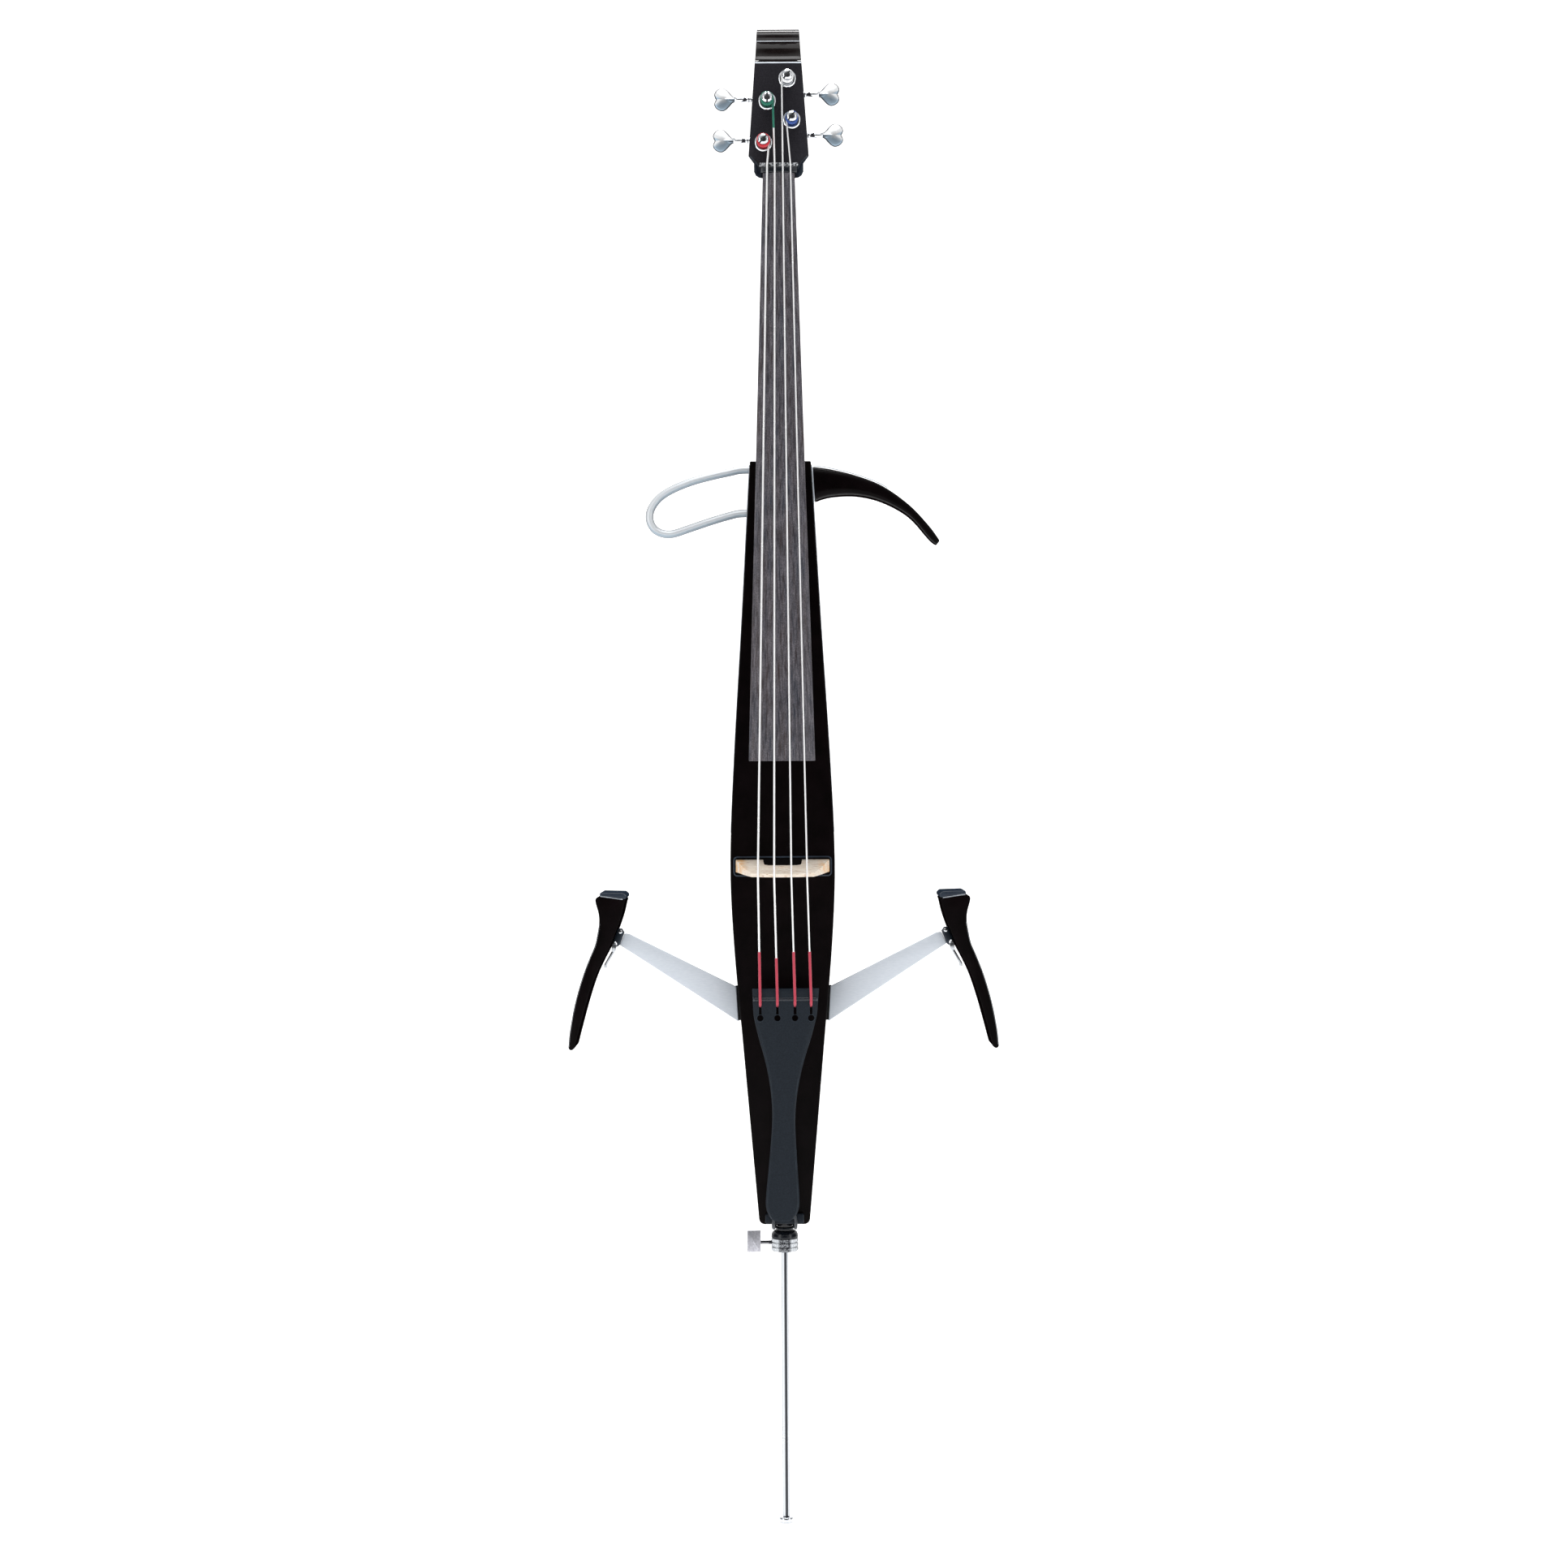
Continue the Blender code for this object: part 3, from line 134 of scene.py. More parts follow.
def softbox(name, place, aim, size, power):
    """A rectangular lamp at a place, turned to a point."""
    light = bpy.data.lights.new(name, "AREA")
    light.shape = "RECTANGLE"
    light.size, light.size_y = size
    light.energy = power
    lamp = bpy.data.objects.new(name, light)
    lamp.location = place
    lamp.rotation_euler = (Vector(aim) - Vector(place)).to_track_quat("-Z", "Y").to_euler()
    scene.collection.objects.link(lamp)


softbox("overhead_softbox", (0.0, 0.2, 2.9), (0, 0, 1.0), (1.0, 0.35), 20)
softbox("crest_softbox", (0.0, -1.2, 2.9), (0, 0, 1.4), (1.4, 0.8), 14)
softbox("left_softbox", (-1.7, -1.7, 1.1), (0, 0, 0.8), (0.8, 2.0), 8)
softbox("right_softbox", (1.8, -1.4, 1.1), (0, 0, 0.8), (0.6, 2.0), 6)

# %% Floor and backdrop in one bend
SWEEP_RADIUS = 0.9
sweep = bmesh.new()
BEND_START = 3.0
profile = [(-5.0, 0.0), (BEND_START, 0.0)]
profile += [(BEND_START + SWEEP_RADIUS * math.sin(math.radians(a)),
             SWEEP_RADIUS * (1 - math.cos(math.radians(a))))
            for a in range(10, 91, 10)]
profile.append((BEND_START + SWEEP_RADIUS, 5.0))
line = [sweep.verts.new((-5.0, y, z)) for y, z in profile]
edges = [sweep.edges.new(pair) for pair in zip(line, line[1:])]
grown = bmesh.ops.extrude_edge_only(sweep, edges=edges)["geom"]
bmesh.ops.translate(sweep, verts=[g for g in grown if isinstance(g, bmesh.types.BMVert)], vec=(10, 0, 0))
sweep_mesh = bpy.data.meshes.new("studio_sheet")
sweep.to_mesh(sweep_mesh)
sweep.free()
sweep_mesh.shade_smooth()
studio_sheet = bpy.data.objects.new("studio_sheet", sweep_mesh)
scene.collection.objects.link(studio_sheet)
sheet_paint = bpy.data.materials.new("studio_sheet")
sheet_paint.use_nodes = True
sheet_shader = sheet_paint.node_tree.nodes["Principled BSDF"]
sheet_shader.inputs["Base Color"].default_value = (0.92, 0.92, 0.92, 1)
sheet_shader.inputs["Roughness"].default_value = 0.9
sheet_shader.inputs["Specular IOR Level"].default_value = 0.1
sheet_shader.inputs["Emission Color"].default_value = (1, 1, 1, 1)
sheet_shader.inputs["Emission Strength"].default_value = 0.62
sweep_mesh.materials.append(sheet_paint)
print("sheet faces:", len(sweep_mesh.polygons))

# %% [markdown]
# ## Shared effects
# Several finishes need the same kind of unevenness: a fine speckle, long streaks along the grain,
# a slow change of gloss where hands have been, ribs at an even spacing, and a lighter colour along
# the edges that is partly wear and partly a painted highlight. Each is a node group with its own
# inputs, so each finish can use it at its own scale.


# %% Helper for node groups
def group_of(name, inputs, outputs):
    """An empty shader group with number inputs, and its two end nodes."""
    group = bpy.data.node_groups.new(name, "ShaderNodeTree")
    for label, value in inputs.items():
        kind = "NodeSocketVector" if isinstance(value, tuple) else "NodeSocketFloat"
        group.interface.new_socket(label, in_out="INPUT", socket_type=kind).default_value = value
    for label in outputs:
        group.interface.new_socket(label, in_out="OUTPUT", socket_type="NodeSocketFloat")
    return group, group.nodes.new("NodeGroupInput"), group.nodes.new("NodeGroupOutput")


# %% Speckle, streaks and gloss
speckle, start, end = group_of("fine_speckle", {"Scale": 1500.0, "Sharpness": 0.2}, ["Mask"])
where = put(speckle, "ShaderNodeTexCoord").outputs["Object"]
dots = put(speckle, "ShaderNodeTexNoise", {"Vector": where, "Scale": start.outputs["Scale"], "Detail": 3.0})
upper = put(speckle, "ShaderNodeMath", {0: 0.5, 1: start.outputs["Sharpness"]}, operation="ADD")
lower = put(speckle, "ShaderNodeMath", {0: 0.5, 1: start.outputs["Sharpness"]}, operation="SUBTRACT")
spread = put(speckle, "ShaderNodeMapRange", {"Value": dots.outputs[0], "From Min": lower.outputs[0],
                                             "From Max": upper.outputs[0]})
speckle.links.new(spread.outputs["Result"], end.inputs["Mask"])

streaks, start, end = group_of("long_streaks", {"Stretch": (900.0, 900.0, 12.0), "Detail": 4.0}, ["Mask"])
where = put(streaks, "ShaderNodeTexCoord").outputs["Object"]
drawn = put(streaks, "ShaderNodeVectorMath", {0: where, 1: start.outputs["Stretch"]}, operation="MULTIPLY")
lines = put(streaks, "ShaderNodeTexNoise", {"Vector": drawn.outputs[0], "Scale": 1.0,
                                            "Detail": start.outputs["Detail"], "Roughness": 0.6})
spread = put(streaks, "ShaderNodeMapRange", {"Value": lines.outputs[0], "From Min": 0.32, "From Max": 0.68})
streaks.links.new(spread.outputs["Result"], end.inputs["Mask"])

gloss, start, end = group_of("handled_gloss", {"Low": 0.3, "High": 0.4, "Scale": 14.0}, ["Roughness"])
where = put(gloss, "ShaderNodeTexCoord").outputs["Object"]
slow = put(gloss, "ShaderNodeTexNoise", {"Vector": where, "Scale": start.outputs["Scale"], "Detail": 5.0,
                                         "Roughness": 0.65})
level = put(gloss, "ShaderNodeMapRange", {"Value": slow.outputs[0], "From Min": 0.3, "From Max": 0.7,
                                          "To Min": start.outputs["Low"], "To Max": start.outputs["High"]})
gloss.links.new(level.outputs["Result"], end.inputs["Roughness"])
print("groups:", [g.name for g in bpy.data.node_groups])

# %% Ribs and rubbed edges
ribs, start, end = group_of("even_ribs", {"Direction": (0.0, 0.0, 1.0), "Spacing": 0.0006}, ["Mask"])
where = put(ribs, "ShaderNodeTexCoord").outputs["Object"]
along = put(ribs, "ShaderNodeVectorMath", {0: where, 1: start.outputs["Direction"]},
            operation="DOT_PRODUCT")
count = put(ribs, "ShaderNodeMath", {0: along.outputs["Value"], 1: start.outputs["Spacing"]},
            operation="DIVIDE")
turn = put(ribs, "ShaderNodeMath", {0: count.outputs[0], 1: 2 * math.pi}, operation="MULTIPLY")
wave = put(ribs, "ShaderNodeMath", {0: turn.outputs[0]}, operation="SINE")
spread = put(ribs, "ShaderNodeMapRange", {"Value": wave.outputs[0], "From Min": -1.0, "From Max": 1.0})
ribs.links.new(spread.outputs["Result"], end.inputs["Mask"])

# Lighter colour along rounded edges: partly wear, partly a painted highlight for the line of light a bevel
# catches.
edge_wear_and_highlight, start, end = group_of("edge_wear_and_painted_highlight", {"Width": 0.0006, "Amount": 0.6}, ["Mask"])
round_normal = put(edge_wear_and_highlight, "ShaderNodeBevel", {"Radius": start.outputs["Width"]}, samples=4)
flat_normal = put(edge_wear_and_highlight, "ShaderNodeNewGeometry").outputs["True Normal"]
match = put(edge_wear_and_highlight, "ShaderNodeVectorMath", {0: round_normal.outputs[0], 1: flat_normal},
            operation="DOT_PRODUCT")
bent = put(edge_wear_and_highlight, "ShaderNodeMapRange", {"Value": match.outputs["Value"], "From Min": 0.995,
                                          "From Max": 0.90})
where = put(edge_wear_and_highlight, "ShaderNodeTexCoord").outputs["Object"]
patches = put(edge_wear_and_highlight, "ShaderNodeTexNoise", {"Vector": where, "Scale": 90.0, "Detail": 4.0})
uneven = put(edge_wear_and_highlight, "ShaderNodeMapRange", {"Value": patches.outputs[0], "From Min": 0.35, "From Max": 0.6})
both = put(edge_wear_and_highlight, "ShaderNodeMath", {0: bent.outputs["Result"], 1: uneven.outputs["Result"]},
           operation="MULTIPLY")
scaled = put(edge_wear_and_highlight, "ShaderNodeMath", {0: both.outputs[0], 1: start.outputs["Amount"]},
             operation="MULTIPLY")
edge_wear_and_highlight.links.new(scaled.outputs[0], end.inputs["Mask"])
print("groups:", [g.name for g in bpy.data.node_groups])

# %% [markdown]
# ## Finishes
# A finish is one Principled shader. Its colour is a mix of two or three near tones, led by one of
# the shared masks, its roughness wanders with the gloss group, and a small bump gives the grain.
# Even matt black mirrors a white room at a glancing angle. On the real finishes that shine is
# broken up, so the dark finishes lose it as the surface turns away.


# %% Helpers for finishes
def effect(tree, group, **inputs):
    """Place a shared effect and return its output."""
    node = put(tree, "ShaderNodeGroup", node_tree=group)
    for label, value in inputs.items():
        node.inputs[label].default_value = value
    return node.outputs[0]


def tint(tree, mask, first, second):
    """Mix two colours, or two colour sockets, by a mask."""
    node = put(tree, "ShaderNodeMix", data_type="RGBA")
    tree.links.new(mask, node.inputs[0])
    for socket, value in ((node.inputs[6], first), (node.inputs[7], second)):
        if isinstance(value, bpy.types.NodeSocket):
            tree.links.new(value, socket)
        else:
            socket.default_value = (*value, 1)
    return node.outputs[2]


def bump(tree, height, distance, strength=1.0, normal=None):
    """Turn a mask into surface relief, this many metres high."""
    node = put(tree, "ShaderNodeBump", {"Height": height, "Distance": distance, "Strength": strength})
    if normal:
        tree.links.new(normal, node.inputs["Normal"])
    return node.outputs["Normal"]


def finish(name, slot, **constants):
    """A material with a Principled shader whose plain values are set on its own sockets."""
    material = bpy.data.materials.new(name)
    material.use_nodes = True
    shader = material.node_tree.nodes["Principled BSDF"]
    for label, value in constants.items():
        shader.inputs[label.replace("_", " ")].default_value = value
    return material, material.node_tree, shader


def wire_up(tree, shader, **sockets):
    """Link sockets to the shader's inputs."""
    for label, socket in sockets.items():
        tree.links.new(socket, shader.inputs[label.replace("_", " ")])


# %% Black lacquer and the satin darks
def dark_finish(name, slot, low, high, rough, speckle_scale, speckle_bump, edge, specular=0.3, sharp=0.2):
    """A dark finish with a fine speckle, a lighter edge colour that is partly wear and partly a painted
    highlight, and no glancing shine.
    """
    material, tree, shader = finish(name, slot, Specular_IOR_Level=specular)
    mask = effect(tree, speckle, Scale=speckle_scale, Sharpness=sharp)
    turned_away = put(tree, "ShaderNodeLayerWeight", {"Blend": 0.5}).outputs["Facing"]
    shine = put(tree, "ShaderNodeMapRange", {"Value": turned_away, "From Min": 0.45, "From Max": 0.82,
                                             "To Min": specular, "To Max": 0.0})
    colour = tint(tree, mask, low, high)
    # The edge colour is partly wear and partly a painted highlight along the edges.
    edge_wear_and_highlight_mask = effect(tree, edge_wear_and_highlight, Width=0.0005, Amount=0.55)
    wire_up(tree, shader, Base_Color=tint(tree, edge_wear_and_highlight_mask, colour, edge),
            Roughness=effect(tree, gloss, Low=rough[0], High=rough[1]),
            Specular_IOR_Level=shine.outputs["Result"], Normal=bump(tree, mask, speckle_bump))
    return material


# The last colour of each dark finish is its edge colour: partly wear, partly a painted highlight.
LACQUER = dark_finish("polished_lacquer", "black_lacquer", (0.0014, 0.0008, 0.0009),
                      (0.0034, 0.0019, 0.0023),
                      (0.26, 0.34), 60, 0.00001, (0.012, 0.012, 0.013), 0.05)
CREST = dark_finish("polished_crest", "charcoal", (0.0060, 0.0042, 0.0042), (0.0125, 0.0090, 0.0088),
                    (0.12, 0.17), 300, 0.000003, (0.05, 0.055, 0.065), 0.5)
CHARCOAL = dark_finish("charcoal_satin", "charcoal", (0.0135, 0.013, 0.0165), (0.024, 0.0225, 0.027),
                       (0.42, 0.52), 900, 0.00001, (0.06, 0.065, 0.075), 0.06)
SLATE = dark_finish("slate_satin", "charcoal", (0.0070, 0.0107, 0.0160), (0.0112, 0.0160, 0.0230),
                    (0.34, 0.44), 700, 0.000005, (0.09, 0.125, 0.155), 0.12)
SHOULDER = dark_finish("navy_gloss", "charcoal", (0.0050, 0.0075, 0.0130), (0.0110, 0.0150, 0.0230),
                       (0.16, 0.24), 400, 0.000004, (0.10, 0.14, 0.19), 0.4)
PLASTIC = dark_finish("moulded_black", "black_plastic", (0.0045, 0.0045, 0.005), (0.011, 0.011, 0.012),
                      (0.40, 0.55), 1800, 0.00003, (0.06, 0.06, 0.065), 0.35)
FRAME_SLATE = dark_finish("frame_slate", "charcoal", (0.014, 0.021, 0.034), (0.022, 0.031, 0.046),
                          (0.3, 0.4), 700, 0.000005, (0.10, 0.14, 0.19), 0.3)
NUT_BLACK = dark_finish("polished_black", "charcoal", (0.006, 0.008, 0.012), (0.014, 0.017, 0.023),
                        (0.12, 0.2), 500, 0.000005, (0.08, 0.09, 0.11), 0.6)
SOCKET_BLACK = dark_finish("socket_gloss", "black_plastic", (0.0035, 0.0045, 0.0070), (0.008, 0.010, 0.014),
                           (0.12, 0.20), 500, 0.000005, (0.05, 0.06, 0.075), 0.4)
PICKUP_BLACK = dark_finish("pickup_black", "black_plastic", (0.0016, 0.0012, 0.0013),
                           (0.0034, 0.0026, 0.0028),
                           (0.45, 0.55), 900, 0.00001, (0.01, 0.01, 0.011), 0.05)
# Painted reflection: dark and light speckle for the light strip above the nut.
SPECKLED_REFLECTION = dark_finish("speckled_painted_reflection", "charcoal", (0.03, 0.035, 0.04), (0.62, 0.64, 0.67),
                       (0.4, 0.5), 520, 0.00002, (0.3, 0.3, 0.32), 0.2, 0.05)

# %% Ebony and maple
EBONY, tree, shader = finish("oiled_ebony", "ebony", Specular_IOR_Level=0.25)
broad = effect(tree, streaks, Stretch=(230.0, 230.0, 4.0), Detail=3.0)
fine = effect(tree, streaks, Stretch=(640.0, 640.0, 14.0), Detail=4.0)
wood = tint(tree, broad, (0.040, 0.023, 0.020), (0.015, 0.026, 0.044))
pores = effect(tree, speckle, Scale=1100.0, Sharpness=0.10)
wood = tint(tree, fine, wood, (0.17, 0.16, 0.18))
wood = tint(tree, put(tree, "ShaderNodeMath", {0: pores, 1: 0.55}, operation="MULTIPLY").outputs[0],
            wood, (0.020, 0.017, 0.019))
wire_up(tree, shader, Base_Color=wood, Roughness=effect(tree, gloss, Low=0.38, High=0.5),
        Normal=bump(tree, fine, 0.00002))

MAPLE, tree, shader = finish("waxed_maple", "maple", Specular_IOR_Level=0.25)
grain = effect(tree, streaks, Stretch=(60.0, 420.0, 900.0), Detail=4.0)
flecks = effect(tree, streaks, Stretch=(180.0, 500.0, 1400.0), Detail=2.0)
knots = effect(tree, speckle, Scale=110.0, Sharpness=0.12)
wood = tint(tree, grain, (0.76, 0.64, 0.51), (0.93, 0.87, 0.78))
cut = put(tree, "ShaderNodeMapRange", {"Value": flecks, "From Min": 0.72, "From Max": 0.97, "To Max": 0.75})
wood = tint(tree, cut.outputs["Result"], wood, (0.36, 0.13, 0.05))
across = put(tree, "ShaderNodeSeparateXYZ", {"Vector": put(tree, "ShaderNodeTexCoord").outputs["Object"]})
outward = put(tree, "ShaderNodeMath", {0: across.outputs["X"]}, operation="ABSOLUTE")
foot = put(tree, "ShaderNodeMapRange", {"Value": outward.outputs[0], "From Min": 0.033, "From Max": 0.040,
                                        "To Min": 0.06, "To Max": 0.85})
warm = put(tree, "ShaderNodeMath", {0: knots, 1: foot.outputs["Result"]}, operation="MULTIPLY")
wood = tint(tree, warm.outputs[0], wood, (0.82, 0.46, 0.17))
wire_up(tree, shader, Base_Color=wood, Roughness=effect(tree, gloss, Low=0.45, High=0.6),
        Normal=bump(tree, grain, 0.00003))
print("wood finishes: ebony, maple")


# %% Metals
def metal_finish(name, slot, low, high, rough, stretch, relief, metallic=1.0):
    """A metal whose fine lines run along the axis with the smallest stretch."""
    material, tree, shader = finish(name, slot, Metallic=metallic)
    mask = effect(tree, streaks, Stretch=stretch, Detail=4.0)
    smear = effect(tree, gloss, Low=rough[0], High=rough[1])
    wire_up(tree, shader, Base_Color=tint(tree, mask, low, high), Roughness=smear,
            Normal=bump(tree, mask, relief))
    return material


CHROME = metal_finish("bright_chrome", "chrome", (0.74, 0.77, 0.81), (0.85, 0.87, 0.90), (0.06, 0.13),
                      (60.0, 60.0, 60.0), 0.000002)
STEEL = metal_finish("brushed_steel", "steel", (0.42, 0.44, 0.47), (0.58, 0.60, 0.63), (0.16, 0.26),
                     (1800.0, 1800.0, 60.0), 0.000004)
ALUMINIUM = metal_finish("satin_aluminium", "aluminium", (0.62, 0.665, 0.72), (0.70, 0.745, 0.80),
                         (0.46, 0.56), (160.0, 900.0, 900.0), 0.000002)
ARM_METAL = metal_finish("anodised_arm", "aluminium", (0.575, 0.62, 0.68), (0.635, 0.675, 0.73),
                         (0.46, 0.56), (160.0, 900.0, 900.0), 0.000002, 0.25)



def shaded_metal(name, slot, axis, stops, painted_dark_rim, rough, metallic=0.6, radius=0, painted_glints=None):
    """Round metal with painted light and shade: lighter and darker bands across its width, painted dark
    flanks, and painted glints where asked.

    The bands follow the surface's direction, or its place where a radius in metres is given. A stop
    is a place from -1 to 1 and a colour.
    """
    material, tree, shader = finish(name, slot, Metallic=metallic)
    # The bands are painted light and shade, placed by the surface's direction or by its place across.
    source = put(tree, "ShaderNodeTexCoord").outputs["Object" if radius else "Normal"]
    split = put(tree, "ShaderNodeSeparateXYZ", {"Vector": source})
    share = put(tree, "ShaderNodeMapRange", {"Value": split.outputs[axis], "From Min": -(radius or 1.0),
                                             "From Max": radius or 1.0})
    tones = put(tree, "ShaderNodeValToRGB", {"Fac": share.outputs["Result"]})
    for place, _ in stops[1:-1]:
        tones.color_ramp.elements.new(0.5 + place / 2)
    for element, (place, tone) in zip(tones.color_ramp.elements, stops):
        element.position, element.color = 0.5 + place / 2, (*tone, 1)
    way = put(tree, "ShaderNodeTexCoord").outputs["Normal"]
    normal = put(tree, "ShaderNodeSeparateXYZ", {"Vector": way})
    frontal = put(tree, "ShaderNodeMath", {0: normal.outputs["Y"]}, operation="ABSOLUTE")
    # Painted dark rim where the surface turns away from the front.
    painted_flank = put(tree, "ShaderNodeMapRange", {"Value": frontal.outputs[0], "From Min": 0.62,
                                             "From Max": 0.28})
    colour = tint(tree, painted_flank.outputs["Result"], tones.outputs["Color"], painted_dark_rim)
    # Painted glints: light specks mixed into the colour.
    if painted_glints:
        dots = effect(tree, speckle, Scale=620.0, Sharpness=0.06)
        dim = put(tree, "ShaderNodeMath", {0: dots, 1: 0.45}, operation="MULTIPLY")
        colour = tint(tree, dim.outputs[0], colour, painted_glints)
    wire_up(tree, shader, Base_Color=colour, Roughness=effect(tree, gloss, Low=rough[0], High=rough[1]))
    return material


# Tones of painted light and shade: a painted highlight, a painted shaded side and a painted dark
# reflection.
PAINTED_HIGHLIGHT_TONE, PAINTED_SHADE_TONE, PAINTED_DARK_REFLECTION = (0.70, 0.73, 0.76), (0.34, 0.41, 0.47), (0.035, 0.038, 0.045)
# Painted shade: blue-grey on the lower side and light on the upper side.
TUBE_STOPS = [(-1, PAINTED_SHADE_TONE), (-0.45, PAINTED_SHADE_TONE), (-0.05, PAINTED_HIGHLIGHT_TONE), (1, PAINTED_HIGHLIGHT_TONE)]
TUBE = shaded_metal("drawn_aluminium", "aluminium", "Z", TUBE_STOPS, (0.10, 0.12, 0.14), (0.3, 0.4), 0.35)
# Painted reflection: light at both sides and a dark band down the middle.
ROD_STOPS = [(-1, PAINTED_HIGHLIGHT_TONE), (-0.35, PAINTED_HIGHLIGHT_TONE), (-0.1, PAINTED_DARK_REFLECTION), (0.45, PAINTED_DARK_REFLECTION), (0.62, PAINTED_HIGHLIGHT_TONE), (1, PAINTED_HIGHLIGHT_TONE)]
ROD_METAL = shaded_metal("ground_steel", "steel", "X", ROD_STOPS, (0.24, 0.26, 0.29), (0.25, 0.35))
# Painted reflection: light sides and a dark middle across the collar, with painted glints.
COLLAR_STOPS = [(-1, PAINTED_HIGHLIGHT_TONE), (-0.52, PAINTED_HIGHLIGHT_TONE), (-0.38, PAINTED_DARK_REFLECTION), (0.38, PAINTED_DARK_REFLECTION), (0.52, PAINTED_HIGHLIGHT_TONE), (0.9, PAINTED_HIGHLIGHT_TONE),
                (0.97, PAINTED_DARK_REFLECTION), (1, PAINTED_DARK_REFLECTION)]
COLLAR_METAL = shaded_metal("knurled_chrome", "chrome", "X", COLLAR_STOPS, PAINTED_DARK_REFLECTION, (0.2, 0.3),
                            radius=0.0133, painted_glints=(0.50, 0.52, 0.55))

# Painted highlight: a ribbed light and dark colour for the broken line of light along a knee piece's edge.
PAINTED_EDGE_HIGHLIGHT, tree, shader = finish("ribbed_painted_highlight", "aluminium", Metallic=0.4)
highlight_breaks = effect(tree, ribs, Direction=(0.0, 0.0, 1.0), Spacing=0.0022)
wire_up(tree, shader, Base_Color=tint(tree, highlight_breaks, (0.06, 0.065, 0.075), (0.72, 0.75, 0.79)),
        Roughness=effect(tree, gloss, Low=0.35, High=0.45))

# Painted reflection: light where the knob faces up, blue-grey where it faces down, and a painted dark rim
# where it turns away from the front.
KNOB_METAL, tree, shader = finish("satin_chrome", "chrome", Metallic=0.85)
normal = put(tree, "ShaderNodeSeparateXYZ", {"Vector": put(tree, "ShaderNodeTexCoord").outputs["Normal"]})
lower = put(tree, "ShaderNodeMapRange", {"Value": normal.outputs["Z"], "From Min": -0.16, "From Max": 0.03})
metal = tint(tree, lower.outputs["Result"], (0.34, 0.44, 0.53), (0.93, 0.94, 0.95))
facing = put(tree, "ShaderNodeMath", {0: normal.outputs["Y"]}, operation="ABSOLUTE")
rim = put(tree, "ShaderNodeMapRange", {"Value": facing.outputs[0], "From Min": 0.92, "From Max": 0.80})
wire_up(tree, shader, Base_Color=tint(tree, rim.outputs["Result"], metal, (0.05, 0.055, 0.065)),
        Roughness=effect(tree, gloss, Low=0.32, High=0.42))
PADDLE_METAL = metal_finish("cast_steel", "steel", (0.40, 0.40, 0.44), (0.58, 0.58, 0.63), (0.38, 0.5),
                            (500.0, 500.0, 500.0), 0.00002)
DARK_STEEL = metal_finish("dark_steel", "steel", (0.10, 0.10, 0.11), (0.22, 0.22, 0.24), (0.2, 0.3),
                          (60.0, 1800.0, 1800.0), 0.000004)
GOLD = metal_finish("plated_contact", "circuit_green", (0.72, 0.50, 0.18), (0.85, 0.62, 0.28), (0.15, 0.25),
                    (400.0, 400.0, 400.0), 0.000002)

# %% Wound strings, silk and the circuit board
STRING_METAL, tree, shader = finish("wound_steel", "string_steel", Metallic=0.5)
turns = effect(tree, ribs, Direction=(0.0, 0.12, 1.0), Spacing=0.00035)
smudges = effect(tree, gloss, Low=0.18, High=0.3, Scale=25.0)
wire_up(tree, shader, Base_Color=tint(tree, turns, (0.93, 0.93, 0.94), (1.0, 1.0, 1.0)), Roughness=smudges,
        Normal=bump(tree, turns, 0.00002))


def silk_finish(name, low, high):
    """Silk thread wound tightly round a string."""
    material, tree, shader = finish(name, "string_steel", Sheen_Weight=0.25, Specular_IOR_Level=0.35)
    turns = effect(tree, ribs, Direction=(0.15, 0.5, 1.0), Spacing=0.0005)
    wire_up(tree, shader, Base_Color=tint(tree, turns, low, high), Normal=bump(tree, turns, 0.00006),
            Roughness=effect(tree, gloss, Low=0.5, High=0.7))
    return material


SILK_TAIL = silk_finish("silk_rose", (0.36, 0.018, 0.042), (0.60, 0.055, 0.10))
SILK_OF = {"c": silk_finish("silk_red", (0.42, 0.010, 0.020), (0.68, 0.03, 0.05)),
           "g": silk_finish("silk_green", (0.0, 0.11, 0.07), (0.01, 0.22, 0.14)),
           "a": silk_finish("silk_blue", (0.014, 0.05, 0.24), (0.04, 0.11, 0.42))}

BOARD_GREEN, tree, shader = finish("circuit_laminate", "circuit_green", Specular_IOR_Level=0.5)
cells = effect(tree, speckle, Scale=260.0, Sharpness=0.04)
wire_up(tree, shader, Base_Color=tint(tree, cells, (0.010, 0.075, 0.030), (0.02, 0.15, 0.06)),
        Roughness=effect(tree, gloss, Low=0.25, High=0.4), Normal=bump(tree, cells, 0.00004))
GUT, tree, shader = finish("black_gut", "steel", Specular_IOR_Level=0.5)
strands = effect(tree, ribs, Direction=(1.0, 0.6, 0.6), Spacing=0.0009)
wire_up(tree, shader, Base_Color=tint(tree, strands, (0.010, 0.013, 0.018), (0.028, 0.035, 0.045)),
        Roughness=effect(tree, gloss, Low=0.25, High=0.35), Normal=bump(tree, strands, 0.0001))

# %% [markdown]
# ## Ways to make a shape
# Nearly every piece is one of four: a flat outline pushed out to a thickness, a profile spun round
# an axis, a skin between sections, or a wire along a smooth line. A few are then carved, and the
# sharp edges of each are rounded so that they catch a line of light.


# %% Outlines
def smooth_line(points, steps=4):
    """Points on a smooth line that passes through the given ones."""
    line = []
    last = len(points) - 1
    for i in range(last):
        near = (points[max(i - 1, 0)], points[i], points[i + 1], points[min(i + 2, last)])
        for step in range(steps):
            t = step / steps
            line.append(tuple(0.5 * (2 * b + (c - a) * t + (2 * a - 5 * b + 4 * c - d) * t * t
                                     + (3 * b - a - 3 * c + d) * t ** 3) for a, b, c, d in zip(*near)))
    line.append(tuple(points[-1]))
    return line


